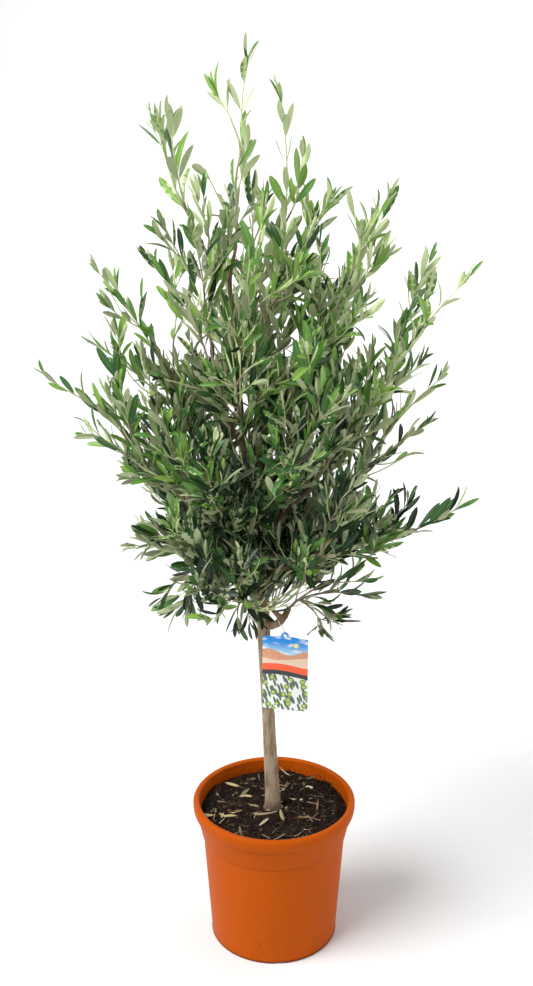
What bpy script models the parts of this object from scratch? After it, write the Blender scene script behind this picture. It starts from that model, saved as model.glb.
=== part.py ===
"""A young olive tree on a clear stem, in a round plastic nursery pot.

Metres, +Z up. The origin is the centre of the pot's flat underside, and the
front of the tree, where its label hangs, looks along -Y.
"""
import math
import random

import bmesh
import bpy
import numpy as np
from mathutils import Matrix
from mathutils.bvhtree import BVHTree

# ---- driving dimensions, in metres ----
FIT = 0.0003                    # gap that touching solids keep
TOUCHING = 0.0000005            # points closer than this count as one

POT_SIDES = 36
POT_HEIGHT = 0.280
RIM_RADIUS = 0.150              # outermost line of the rolled lip
RIM_INSIDE = 0.138
LIP_HEIGHT = 0.028              # from the lip's lower edge to the top
LIP_STEP = 0.0025               # how far the lip's edge stands off the band
NECK_RADIUS = 0.132             # where the body meets the flared band
NECK_LEVEL = 0.200
FLARE = 0.0075                  # how much the band widens up to the lip
FOOT_RADIUS = 0.1182
FOOT_ROUND = 0.003
WALL = 0.003
FLOOR = 0.006
NOTCH_WIDTH = 0.022             # drain notches in the foot
NOTCH_DEPTH = 0.010
NOTCH_HEIGHT = 0.004
NOTCH_COUNT = 4
NOTCH_TURN = math.radians(-85)

SOIL_LEVEL = 0.258
TRUNK_FOOT = SOIL_LEVEL + FIT

CARD_WIDTH = 0.082
CARD_HEIGHT = 0.140
CARD_THICKNESS = 0.0008
CARD_YAW = math.radians(-12)
TAB_RADIUS = 0.007
HOLE_RADIUS = 0.0026
HOLE_SIDES = 12
TIE_RADIUS = 0.0007
TIE_SIDES = 6
TIE_POINTS = 12
TIE_SLACK = 0.003
TIE_X = 0.0060                  # where the tie goes round the right bough
TIE_LEAN = 0.013                # how far the card hangs to the right of it
TIE_DROP = 0.033                # from the top of the tie to the card's hole

TRUNK_SIDES = 10
BOUGH_SIDES = 6
BOUGH_POINTS = 5
ELBOW_POINTS = 8

TWIG_SIDES = 3
SHOOT_POINTS = 5
STEM_RADIUS = 0.0026            # twigs: main stem of a mass, side shoot, tip
SHOOT_RADIUS = 0.0019
TIP_RADIUS = 0.0010
SHOOT_LEAD = 0.010              # straight start of a stem, square to what it meets
SHOOT_CLEARANCE = 0.0022        # kept between the twigs of different masses
FORK_ANGLE = math.radians(34)
FORK_PLACES = np.linspace(0.12, 0.80, 18)
SWINGS = (0.0, 0.6, -0.6, 1.2, -1.2, 1.9, -1.9, 2.6, -2.6)
EXTRA_ARCHES = (0.0, 0.08, 0.16)

LEAF_LENGTH = 0.114             # a spray's length: each leaf stands for several
LEAF_WIDTH = 0.034
LEAF_THICKNESS = 0.0016
LEAF_WAIST = 0.46               # where along it the leaf is widest
LEAF_SPACING = 0.098            # between pairs along a shoot
TIP_LEAF = 0.085                # the leaf that ends a shoot
TIP_SPREAD = 0.10
PAIR_STEP = 0.006               # between the two leaves of a pair
FIRST_PAIR = 0.14               # places of the first and the last pair on a shoot
LAST_PAIR = 0.92
BASE_SPREAD = math.radians(56)  # angle of the leaves to the shoot, at its foot and its tip
END_SPREAD = math.radians(34)
BASE_SIZE = 1.10                # size of the leaves, at the shoot's foot and its tip
END_SIZE = 0.84
ROOT_DEPTH = 0.0006             # how far a leaf's root passes the middle of its twig
BLADE_START = 0.006             # the blade, beyond its root, keeps off its own mass too
LEAF_CLEARANCE = 0.0010         # kept to every other node
LEAF_SHRINKS = (1.0, 0.8, 0.62)
LEAF_NUDGES = (0.0, 0.4, -0.4, 0.8, -0.8)
ATTEMPTS = 6

# The filling shoots stay in an egg round the leader. Each is tried at these
# places on its stem, in this many directions, at these lengths.
CROWN_AXIS_X = -0.028
CROWN_MIDDLE = 1.000
CROWN_HALF_HEIGHT = 0.560
CROWN_RADIUS = 0.265
CROWN_FOOT = 0.650
FILL_PLACES = (0.12, 0.30, 0.48, 0.66)
FILL_TURNS = 12
FILL_LENGTHS = (0.240, 0.190, 0.150)
FILL_SPREAD = math.radians(46)
FILL_PROBES = np.array((0.45, 0.70, 0.95))
SKEW = np.array((0.31, 0.95, 0.05))     # a direction that no limb follows

# Stations up the stem and its leader: x, y, z, radius.
TRUNK_LINE = np.array((
    (-0.0015, 0.000, TRUNK_FOOT, 0.0160),
    (-0.002, 0.000, 0.270, 0.0146),
    (-0.003, 0.000, 0.292, 0.0138),
    (-0.006, 0.000, 0.360, 0.0125),
    (-0.011, 0.000, 0.463, 0.0114),
    (-0.016, 0.000, 0.560, 0.0111),
    (-0.019, 0.000, 0.635, 0.0113),
    (-0.020, 0.003, 0.700, 0.0098),
    (-0.030, 0.002, 0.790, 0.0076),
    (-0.052, 0.000, 0.900, 0.0058),
    (-0.055, 0.002, 0.995, 0.0052),
    (-0.062, 0.000, 1.081, 0.0047),
    (-0.067, -0.002, 1.171, 0.0041),
    (-0.073, 0.000, 1.244, 0.0034),
    (-0.063, 0.000, 1.292, 0.0026),
))

# The right bough leaves the stem in an elbow, and a thin limb crosses the
# stem from there: parent, radii at the two ends, centre line.
ELBOW_LIMBS = {
    "bough_elbow": ("trunk", 0.0072, 0.0046, (
        (-0.019, -0.002, 0.628), (0.000, -0.020, 0.637), (0.015, -0.024, 0.651), (0.025, -0.023, 0.670))),
    "bough_cross": ("bough_elbow", 0.0040, 0.0024, (
        (0.013, -0.024, 0.650), (-0.001, -0.034, 0.668), (-0.014, -0.037, 0.682), (-0.034, -0.036, 0.697))),
}

# Boughs that rise off the stem: height of the root, tip, arch, end radii.
BOUGHS = {
    "bough_left_low": (0.656, (-0.088, -0.020, 0.738), 0.11, 0.0066, 0.0036),
    "bough_left_wide": (0.700, (-0.112, -0.010, 0.812), 0.04, 0.0062, 0.0034),
    "bough_left_high": (0.740, (-0.112, 0.022, 0.862), 0.05, 0.0056, 0.0034),
    "bough_left_top": (0.945, (-0.095, -0.006, 1.030), 0.03, 0.0036, 0.0029),
    "bough_right_wide": (0.692, (0.078, 0.000, 0.748), 0.06, 0.0058, 0.0034),
    "bough_right_mid": (0.726, (0.070, 0.018, 0.800), 0.03, 0.0056, 0.0034),
    "bough_right_high": (0.778, (0.062, -0.012, 0.888), 0.03, 0.0052, 0.0034),
    "bough_right_top": (0.905, (0.024, 0.000, 1.035), 0.03, 0.0040, 0.0031),
    "bough_centre_top": (0.968, (-0.038, 0.006, 1.090), -0.04, 0.0036, 0.0029),
    "bough_front_low_1": (0.644, (-0.062, -0.076, 0.705), 0.08, 0.0056, 0.0032),
    "bough_front_low_2": (0.714, (0.040, -0.080, 0.765), 0.08, 0.0054, 0.0032),
    "bough_front_mid_1": (0.796, (-0.075, -0.072, 0.868), 0.05, 0.0050, 0.0031),
    "bough_front_mid_2": (0.845, (0.015, -0.078, 0.925), 0.05, 0.0048, 0.0031),
    "bough_back_low_1": (0.634, (-0.078, 0.078, 0.705), 0.08, 0.0056, 0.0032),
    "bough_back_low_2": (0.672, (0.042, 0.080, 0.738), 0.08, 0.0054, 0.0032),
    "bough_back_mid_1": (0.766, (-0.080, 0.080, 0.850), 0.05, 0.0050, 0.0031),
    "bough_back_mid_2": (0.818, (0.022, 0.086, 0.898), 0.05, 0.0048, 0.0031),
}

# Each mass: the limb that its stem meets, the height on the stem (None at a
# limb's tip), the arch of its shoots, how many more shoots fill it out, and
# the tips that make the crown's outline. The first tip ends the mass's stem.
MASSES = {
    "foliage_top": ("trunk", None, 0.03, 0, (
        (-0.041, 0.000, 1.610), (-0.105, 0.020, 1.558), (-0.085, 0.110, 1.380))),
    "foliage_top_left": ("trunk", 1.235, -0.05, 1, (
        (-0.201, 0.050, 1.509), (-0.168, -0.030, 1.515), (-0.114, -0.090, 1.410))),
    "foliage_top_right": ("bough_centre_top", None, -0.05, 1, (
        (0.015, 0.040, 1.553), (0.050, -0.060, 1.466), (0.107, 0.080, 1.370), (0.076, -0.060, 1.375))),
    "foliage_upper_left": ("bough_left_top", None, 0.07, 2, (
        (-0.182, -0.060, 1.362), (-0.225, 0.060, 1.295))),
    "foliage_left_high": ("bough_left_high", None, 0.08, 3, (
        (-0.314, 0.090, 1.273), (-0.303, -0.080, 1.173))),
    "foliage_left_wide": ("bough_left_wide", None, 0.05, 3, (
        (-0.403, -0.050, 1.122), (-0.357, 0.070, 0.975), (-0.271, -0.050, 0.918))),
    "foliage_left_low": ("bough_left_low", None, 0.12, 2, (
        (-0.281, 0.040, 0.768), (-0.225, -0.080, 0.691), (-0.168, 0.040, 0.619))),
    "foliage_cross": ("bough_cross", None, 0.25, 1, (
        (-0.080, -0.088, 0.635), (-0.035, -0.130, 0.659))),
    "foliage_right_low": ("bough_elbow", None, 0.10, 1, (
        (0.200, -0.030, 0.698), (0.126, -0.040, 0.650), (0.107, -0.045, 0.619))),
    "foliage_right_wide": ("bough_right_wide", None, -0.06, 3, (
        (0.343, -0.040, 0.875), (0.228, 0.090, 0.860))),
    "foliage_right_mid": ("bough_right_mid", None, 0.03, 3, (
        (0.305, 0.070, 1.087), (0.268, -0.070, 1.035))),
    "foliage_right_high": ("bough_right_high", None, 0.02, 3, (
        (0.325, -0.070, 1.287), (0.271, 0.080, 1.291))),
    "foliage_upper_right": ("bough_right_top", None, 0.03, 2, (
        (0.191, -0.050, 1.410), (0.200, 0.085, 1.303))),
    "foliage_front_high": ("trunk", 1.060, 0.04, 2, (
        (-0.035, -0.200, 1.330), (0.060, -0.180, 1.290))),
    "foliage_front_upper": ("trunk", 0.985, 0.06, 2, (
        (-0.080, -0.255, 1.150), (0.005, -0.245, 1.180))),
    "foliage_back_high": ("trunk", 1.120, 0.04, 2, (
        (-0.010, 0.220, 1.375), (-0.100, 0.190, 1.350))),
    "foliage_back_upper": ("trunk", 1.010, 0.06, 2, (
        (-0.080, 0.275, 1.200), (0.020, 0.250, 1.160))),
    "foliage_front_low_1": ("bough_front_low_1", None, 0.10, 2, (
        (-0.150, -0.235, 0.790), (-0.099, -0.190, 0.718))),
    "foliage_front_low_2": ("bough_front_low_2", None, 0.10, 2, (
        (0.145, -0.210, 0.850), (0.050, -0.230, 0.765))),
    "foliage_front_mid_1": ("bough_front_mid_1", None, 0.07, 2, (
        (-0.190, -0.225, 1.030), (-0.105, -0.285, 0.950))),
    "foliage_front_mid_2": ("bough_front_mid_2", None, 0.07, 3, (
        (0.115, -0.225, 1.120), (0.020, -0.290, 0.990))),
    "foliage_back_low_1": ("bough_back_low_1", None, 0.10, 2, (
        (-0.210, 0.200, 0.810), (-0.100, 0.255, 0.760))),
    "foliage_back_low_2": ("bough_back_low_2", None, 0.10, 2, (
        (0.170, 0.200, 0.820), (0.060, 0.255, 0.720))),
    "foliage_back_mid_1": ("bough_back_mid_1", None, 0.07, 2, (
        (-0.200, 0.260, 1.080), (-0.100, 0.320, 0.990))),
    "foliage_back_mid_2": ("bough_back_mid_2", None, 0.07, 2, (
        (0.140, 0.250, 1.130), (0.050, 0.335, 1.000))),
}

# colour, roughness
FINISHES = {
    "orange_plastic": ((0.80, 0.20, 0.045), 0.45),
    "potting_soil": ((0.030, 0.020, 0.014), 0.95),
    "olive_bark": ((0.25, 0.20, 0.15), 0.85),
    "olive_leaf": ((0.090, 0.150, 0.055), 0.55),
    "label_card": ((0.55, 0.50, 0.42), 0.35),
    "clear_tie": ((0.75, 0.75, 0.70), 0.40),
}


# ---- objects ----
def clear_scene():
    for thing in list(bpy.data.objects):
        bpy.data.objects.remove(thing, do_unlink=True)


def make_finish(name):
    colour, roughness = FINISHES[name]
    finish = bpy.data.materials.new(name)
    finish.use_nodes = True
    shader = finish.node_tree.nodes["Principled BSDF"]
    shader.inputs["Base Color"].default_value = (*colour, 1.0)
    shader.inputs["Roughness"].default_value = roughness
    shader.inputs["Metallic"].default_value = 0.0
    return finish


def add_object(name, mesh, finish):
    thing = bpy.data.objects.new(name, mesh)
    mesh.materials.clear()
    mesh.materials.append(bpy.data.materials.get(finish) or make_finish(finish))
    bpy.context.scene.collection.objects.link(thing)
    return thing


def mesh_of(name, shell):
    """A mesh from a shell, which is a list of points and a list of faces."""
    points, faces = shell
    mesh = bpy.data.meshes.new(name)
    mesh.from_pydata(points, [], faces)
    mesh.update()
    return mesh


def worked_mesh(name, work):
    """A mesh from a finished bmesh, with its faces turned outwards."""
    bmesh.ops.recalc_face_normals(work, faces=work.faces)
    mesh = bpy.data.meshes.new(name)
    work.to_mesh(mesh)
    work.free()
    return mesh


def cut(thing, cutter):
    """Take a cutter's shape out of an object; the cutter itself is no part of the tree."""
    cutter.hide_render = True
    cutter.display_type = "WIRE"
    modifier = thing.modifiers.new("cut", "BOOLEAN")
    modifier.operation = "DIFFERENCE"
    modifier.object = cutter


# ---- pot and soil ----
def turned(name, profile, finish):
    """Spin a profile of (radius, height) points once round the Z axis."""
    work = bmesh.new()
    points = [work.verts.new((radius, 0.0, height)) for radius, height in profile]
    edges = [work.edges.new(pair) for pair in zip(points, points[1:])]
    bmesh.ops.spin(
        work, geom=points + edges, cent=(0, 0, 0), axis=(0, 0, 1), angle=math.tau, steps=POT_SIDES)
    bmesh.ops.remove_doubles(work, verts=work.verts, dist=1e-6)
    thing = add_object(name, worked_mesh(name, work), finish)
    thing.data.shade_smooth()
    thing.data.set_sharp_from_angle(angle=math.radians(40))
    return thing


def body_radius(height):
    """The body widens evenly from the foot to the neck, then flares to the lip."""
    slope = (NECK_RADIUS - FOOT_RADIUS) / NECK_LEVEL
    flare = max(0.0, height - NECK_LEVEL) / (POT_HEIGHT - LIP_HEIGHT - NECK_LEVEL)
    return FOOT_RADIUS + slope * height + FLARE * flare ** 1.2


def inner_wall(gap):
    """The pot's inside from its floor's corner up to the lip, drawn in by a gap."""
    corner = (body_radius(FLOOR) - WALL - FOOT_ROUND - gap, FLOOR + gap)
    wall = [(body_radius(z) - WALL - gap, z) for z in (2 * FLOOR, NECK_LEVEL)]
    return [corner] + wall + [(RIM_INSIDE - LIP_STEP - gap, POT_HEIGHT - LIP_HEIGHT - 0.004)]


def make_pot():
    lip_foot = POT_HEIGHT - LIP_HEIGHT
    outside = [(0.0, 0.0), (FOOT_RADIUS - 0.6 * FOOT_ROUND, 0.0), (body_radius(FOOT_ROUND), FOOT_ROUND)]
    outside += [(body_radius(z), z) for z in (0.100, NECK_LEVEL, 0.214, 0.232, lip_foot)]
    lip = [
        (body_radius(lip_foot) + LIP_STEP, lip_foot + 0.0008),
        (RIM_RADIUS - 0.0005, POT_HEIGHT - 0.014),
        (RIM_RADIUS, POT_HEIGHT - 0.008),
        (RIM_RADIUS - 0.0018, POT_HEIGHT - 0.0022),
        (RIM_RADIUS - 0.0060, POT_HEIGHT),
        (RIM_INSIDE + 0.0022, POT_HEIGHT - 0.0012),
        (RIM_INSIDE, POT_HEIGHT - 0.005),
    ]
    pot = turned("pot", outside + lip + inner_wall(0.0)[::-1] + [(0.0, FLOOR)], "orange_plastic")
    size = Matrix.Diagonal((3 * NOTCH_DEPTH, NOTCH_WIDTH, 2 * NOTCH_HEIGHT, 1.0))
    out = Matrix.Translation((FOOT_RADIUS + 0.5 * NOTCH_DEPTH, 0.0, 0.0))
    for step in range(NOTCH_COUNT):
        turn = Matrix.Rotation(NOTCH_TURN + step * math.tau / NOTCH_COUNT, 4, "Z")
        work = bmesh.new()
        bmesh.ops.create_cube(work, size=1.0, matrix=turn @ out @ size)
        name = "notch_cutter_%d" % step
        cut(pot, add_object(name, worked_mesh(name, work), "orange_plastic"))


def make_soil():
    """The pot's filling, which stands 0.3 mm clear of its wall and floor."""
    top = [(RIM_INSIDE - LIP_STEP - FIT, SOIL_LEVEL), (0.0, SOIL_LEVEL)]
    turned("soil", [(0.0, FLOOR + FIT)] + inner_wall(FIT) + top, "potting_soil")


# ---- lines ----
def unit(vector):
    vector = np.asarray(vector, float)
    return vector / np.linalg.norm(vector)


def square_to(along):
    """Two directions square to a line and to each other."""
    normal = unit(np.cross(along, SKEW))
    return normal, np.cross(along, normal)


def on_line(line, fraction):
    """The place and the direction at a fraction of a line's length."""
    steps = np.linalg.norm(np.diff(line, axis=0), axis=1)
    run = np.concatenate(([0.0], np.cumsum(steps)))
    reach = fraction * run[-1]
    place = np.array([np.interp(reach, run, line[:, axis]) for axis in range(3)])
    step = min(int(np.searchsorted(run, reach, side="right")) - 1, len(steps) - 1)
    return place, unit(line[step + 1] - line[step])


def length_of(line):
    return np.linalg.norm(np.diff(line, axis=0), axis=1).sum()


def on_trunk(height):
    """The stem's middle and radius at a height."""
    values = [float(np.interp(height, TRUNK_LINE[:, 2], TRUNK_LINE[:, axis])) for axis in range(4)]
    return np.array(values[:3]), values[3]


def arched(start, end, arch, swing=0.0, count=SHOOT_POINTS):
    """Points on a parabola whose middle stands arch x length off its chord.

    It bows to the side that faces up, swung round the chord by an angle.
    """
    start, end = np.asarray(start, float), np.asarray(end, float)
    length = np.linalg.norm(end - start)
    along = (end - start) / length
    rise = unit(np.array((0.0, 0.0, 1.0)) - along * along[2] + 1e-6)
    side = np.cross(along, rise)
    bow = 4 * arch * length * (math.cos(swing) * rise + math.sin(swing) * side)
    t = np.linspace(0.0, 1.0, count)[:, None]
    return start + (end - start) * t + bow * t * (1 - t)


def smooth_line(points, count):
    """Catmull-Rom points through a short list of points."""
    points = np.asarray(points, float)
    padded = np.vstack((2 * points[0] - points[1], points, 2 * points[-1] - points[-2]))
    line = []
    for place in np.linspace(0, len(points) - 1, count):
        step = min(int(place), len(points) - 2)
        t = place - step
        a, b, c, d = padded[step:step + 4]
        line.append(b + 0.5 * ((c - a) * t + (2 * a - 5 * b + 4 * c - d) * t ** 2
                               + (3 * b - a - 3 * c + d) * t ** 3))
    return np.array(line)


# ---- shells ----
def swept(line, radii, sides, first=None):
    """A shell of rings square to a line of points, with flat ends."""
    ahead = np.gradient(line, axis=0)
    ahead /= np.linalg.norm(ahead, axis=1)[:, None]
    if first is not None:
        ahead[0] = first
    normal = square_to(ahead[0])[0]
    points = []
    for middle, along, radius in zip(line, ahead, radii):
        normal = unit(normal - along * normal.dot(along))
        side = np.cross(along, normal)
        for step in range(sides):
            turn = math.tau * step / sides
            points.append(tuple(middle + radius * (math.cos(turn) * normal + math.sin(turn) * side)))
    faces = [tuple(reversed(range(sides)))]
    faces += ring_faces(len(line), sides, closed=False)
    faces.append(tuple(range(len(points) - sides, len(points))))
    return points, faces


def ring_faces(rings, sides, closed):
    """The faces between rings of points, and from the last ring to the first if it is closed."""
    faces = []
    for ring in range(rings if closed else rings - 1):
        low, high = ring * sides, (ring + 1) % rings * sides
        for step in range(sides):
            after = (step + 1) % sides
            faces.append((low + step, low + after, high + after, high + step))
    return faces


def loop_shell(line, radius, sides):
    """A tube round a closed line of points."""
    across = unit(np.cross(line[1] - line[0], line[2] - line[1]))
    points = []
    for index, middle in enumerate(line):
        along = unit(line[(index + 1) % len(line)] - line[index - 1])
        out = np.cross(along, across)
        for step in range(sides):
            turn = math.tau * step / sides
            points.append(tuple(middle + radius * (math.cos(turn) * across + math.sin(turn) * out)))
    return points, ring_faces(len(line), sides, closed=True)


def leaf_shell(root, along, face, length, width, thickness):
    """A lance-shaped leaf of 6 faces: two ends, two edges, and a ridge along its back."""
    face = unit(face - along * face.dot(along))
    side = np.cross(along, face)
    waist = root + along * length * LEAF_WAIST
    points = (root, waist + side * width / 2, waist - side * width / 2,
              waist - face * thickness, root + along * length)
    faces = ((0, 2, 1), (0, 3, 2), (0, 1, 3), (4, 1, 2), (4, 2, 3), (4, 3, 1))
    return [tuple(point) for point in points], faces


def tree_of(shells):
    """One search tree of the faces of several shells."""
    points, faces = [], []
    for shell in shells:
        base = len(points)
        points.extend(shell[0])
        faces.extend(tuple(base + index for index in face) for face in shell[1])
    return BVHTree.FromPolygons(points, faces)


def is_clear(shell, others):
    return not BVHTree.FromPolygons(*shell).overlap(others)


# ---- limbs ----
def make_limbs():
    """The stem with its leader, and every bough, each cut to meet the limb it grows from."""
    limbs = {"trunk": (TRUNK_LINE[:, :3], TRUNK_LINE[:, 3], TRUNK_SIDES, None)}
    for name, (parent, thick, thin, points) in ELBOW_LIMBS.items():
        line = smooth_line(points, ELBOW_POINTS)
        limbs[name] = (line, np.linspace(thick, thin, len(line)), BOUGH_SIDES, parent)
    for name, (height, tip, arch, thick, thin) in BOUGHS.items():
        line = arched(on_trunk(height)[0], tip, arch, count=BOUGH_POINTS)
        limbs[name] = (line, np.linspace(thick, thin, len(line)), BOUGH_SIDES, "trunk")
    cutters, shells = {}, {}
    for name, (line, radii, sides, parent) in limbs.items():
        first = None if parent else (0, 0, 1)
        shells[name] = swept(line, radii, sides, first)
        limb = add_object(name, mesh_of(name, shells[name]), "olive_bark")
        limb.data.shade_smooth()
        if parent:
            cut(limb, cutters[parent])
        if name in ("trunk", "bough_elbow"):
            grown = swept(line, radii + 1.3 * FIT, sides, first)
            cutters[name] = add_object(name + "_cutter", mesh_of(name + "_cutter", grown), "olive_bark")
    return limbs, shells


# ---- label ----
def make_label(limbs):
    """A printed card that hangs by a loop of clear plastic from the right bough's elbow."""
    line, radii = limbs["bough_elbow"][:2]
    step = int(np.searchsorted(line[:, 0], TIE_X))
    along = unit(line[step] - line[step - 1])
    carrier = [float(np.interp(TIE_X, line[:, 0], line[:, axis])) for axis in range(3)]
    bough_half = float(np.interp(TIE_X, line[:, 0], radii)) / along[0]
    top = carrier[2] + bough_half + FIT + 1.6 * TIE_RADIUS
    hang = np.array((carrier[0] + TIE_LEAN, carrier[1], top - TIE_DROP))
    turns = np.arange(TIE_POINTS) * math.tau / TIE_POINTS
    climb = 0.5 * (1 - np.cos(turns))
    wide = (bough_half + TIE_SLACK) * np.sin(turns)
    loop = hang + np.stack((-TIE_LEAN * climb, wide, TIE_DROP * climb), axis=1)
    add_object("label_tie", mesh_of("label_tie", loop_shell(loop, TIE_RADIUS, TIE_SIDES)), "clear_tie")

    hole = hang - (0.0, 0.0, HOLE_RADIUS - TIE_RADIUS - FIT)
    half, shoulder = 0.5 * CARD_WIDTH, -0.6 * TAB_RADIUS
    outline = [(half, shoulder), (half, shoulder - CARD_HEIGHT),
               (-half, shoulder - CARD_HEIGHT), (-half, shoulder)]
    outline += [(-TAB_RADIUS * math.cos(turn), TAB_RADIUS * math.sin(turn))
                for turn in np.linspace(-0.3, math.pi + 0.3, 9)]
    work = bmesh.new()
    front = work.faces.new([work.verts.new((x, -0.5 * CARD_THICKNESS, z)) for x, z in outline])
    back = bmesh.ops.extrude_face_region(work, geom=[front])["geom"]
    moved = [part for part in back if isinstance(part, bmesh.types.BMVert)]
    bmesh.ops.translate(work, vec=(0, CARD_THICKNESS, 0), verts=moved)
    card = add_object("label", worked_mesh("label", work), "label_card")
    card.location = hole
    card.rotation_euler = (0.0, 0.0, CARD_YAW)
    drill = bmesh.new()
    bmesh.ops.create_cone(
        drill, segments=HOLE_SIDES, cap_ends=True, radius1=HOLE_RADIUS, radius2=HOLE_RADIUS, depth=0.02,
        matrix=Matrix.Rotation(math.radians(90), 4, "X"))
    cutter = add_object("hole_cutter", worked_mesh("hole_cutter", drill), "label_card")
    cutter.location = hole
    cut(card, cutter)
    return card


def placed_shell(thing):
    """The shell of an object's own mesh, where the object stands."""
    bpy.context.view_layer.update()
    points = [tuple(thing.matrix_world @ point.co) for point in thing.data.vertices]
    return points, [tuple(face.vertices) for face in thing.data.polygons]


# ---- twigs ----
def stem_start(limbs, limb, height, tip):
    """Where a mass's stem starts and heads: 0.3 mm off a limb's tip, or off the leader's side."""
    line = limbs[limb][0]
    if height is None:
        heading = unit(line[-1] - line[-2])
        return line[-1] + heading * FIT, heading
    middle, radius = on_trunk(height)
    heading = unit((tip[0] - middle[0], tip[1] - middle[1], 0.0))
    return middle + heading * (radius + 1.5 * FIT), heading


def fork_place(stem, tip):
    """The place on a stem where a shoot to this tip leaves it most nearly at the fork angle."""
    def miss(fraction):
        place, along = on_line(stem, fraction)
        return abs(math.acos(np.clip(unit(np.asarray(tip) - place).dot(along), -1, 1)) - FORK_ANGLE)
    return on_line(stem, min(FORK_PLACES, key=miss))[0]


def route(start, tip, arch, thick, others, lead):
    """A shoot's line to its tip leaf, bowed and swung until it is clear of the other limbs."""
    begin = start if lead is None else start + lead * SHOOT_LEAD
    end = np.asarray(tip) - unit(np.asarray(tip) - begin) * TIP_LEAF
    for swing in SWINGS:
        for extra in EXTRA_ARCHES:
            line = arched(begin, end, arch + extra, swing)
            if lead is not None:
                line = np.vstack((start, line))
            wide = np.linspace(thick, TIP_RADIUS, len(line)) + SHOOT_CLEARANCE
            if is_clear(swept(line[1:], wide[1:], TWIG_SIDES), others):
                return line
    return None


def crown_radius(height):
    """How far from the crown's axis the filling shoots may reach at a height."""
    rise = (height - CROWN_MIDDLE) / CROWN_HALF_HEIGHT
    return CROWN_RADIUS * math.sqrt(max(0.0, 1 - rise ** 2))


def open_tip(stem, filled):
    """A place on a stem and a tip for a new shoot, where it stands farthest from every shoot so far."""
    best, found = 0.0, None
    for fraction in FILL_PLACES:
        place, along = on_line(stem, fraction)
        normal, side = square_to(along)
        for turn in np.arange(FILL_TURNS) * math.tau / FILL_TURNS:
            out = math.cos(turn) * normal + math.sin(turn) * side
            heading = math.cos(FILL_SPREAD) * along + math.sin(FILL_SPREAD) * out
            for length in FILL_LENGTHS:
                tip = place + heading * length
                reach = math.hypot(tip[0] - CROWN_AXIS_X, tip[1])
                if reach > crown_radius(tip[2]) or tip[2] < CROWN_FOOT:
                    continue
                probes = place + np.outer(FILL_PROBES * length, heading)
                room = np.linalg.norm(filled[None] - probes[:, None], axis=2).min(axis=1).mean()
                if room > best:
                    best, found = room, (place, tip)
    return found


def reach_points(line):
    """Points along a shoot and its tip leaf, which show how the crown is filled."""
    places = [on_line(line, fraction)[0] for fraction in np.linspace(0, 1, 8)]
    return np.vstack(places + [line[-1] + unit(line[-1] - line[-2]) * 0.7 * TIP_LEAF])


def grow_shoots(limbs, limb_shells):
    """The twigs of every mass: a stem, side shoots to the outline's tips, then shoots that fill gaps."""
    twigs = {name: [] for name in MASSES}

    def shoot(name, start, tip, thick, lead=None):
        others = [shell for owner, owned in twigs.items() if owner != name for line, shell in owned]
        others = tree_of(others + list(limb_shells.values()))
        line = route(start, tip, MASSES[name][2], thick, others, lead)
        if line is not None:
            radii = np.linspace(thick, TIP_RADIUS, len(line))
            twigs[name].append((line, swept(line, radii, TWIG_SIDES)))

    for name, (limb, height, arch, fill, tips) in MASSES.items():
        start, heading = stem_start(limbs, limb, height, tips[0])
        shoot(name, start, tips[0], STEM_RADIUS, heading)
    for name, (limb, height, arch, fill, tips) in MASSES.items():
        for tip in tips[1:]:
            shoot(name, fork_place(twigs[name][0][0], tip), tip, SHOOT_RADIUS)
    for step in range(max(row[3] for row in MASSES.values())):
        for name, row in MASSES.items():
            if step < row[3]:
                filled = np.vstack([reach_points(line) for owned in twigs.values() for line, shell in owned])
                found = open_tip(twigs[name][0][0], filled)
                if found:
                    shoot(name, *found, SHOOT_RADIUS)
    return twigs


# ---- leaves ----
def place_leaf(place, along, turn, spread, size, others, own):
    """A leaf at the first angle and size that keep it off every other node and off its own mass."""
    normal, side = square_to(along)
    for shrink in LEAF_SHRINKS:
        for nudge in LEAF_NUDGES:
            out = math.cos(turn + nudge) * normal + math.sin(turn + nudge) * side
            heading = unit(math.cos(spread) * along + math.sin(spread) * out)
            length, width = LEAF_LENGTH * size * shrink, LEAF_WIDTH * size * shrink
            face = along - 0.2 * out
            grown = leaf_shell(place, heading, face, length + LEAF_CLEARANCE,
                               width + 2 * LEAF_CLEARANCE, LEAF_THICKNESS + 2 * LEAF_CLEARANCE)
            blade = leaf_shell(place + heading * BLADE_START, heading, face, length - BLADE_START,
                               width, LEAF_THICKNESS)
            if is_clear(grown, others) and is_clear(blade, own):
                return leaf_shell(place - heading * ROOT_DEPTH, heading, face, length, width, LEAF_THICKNESS)
    return None


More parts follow.
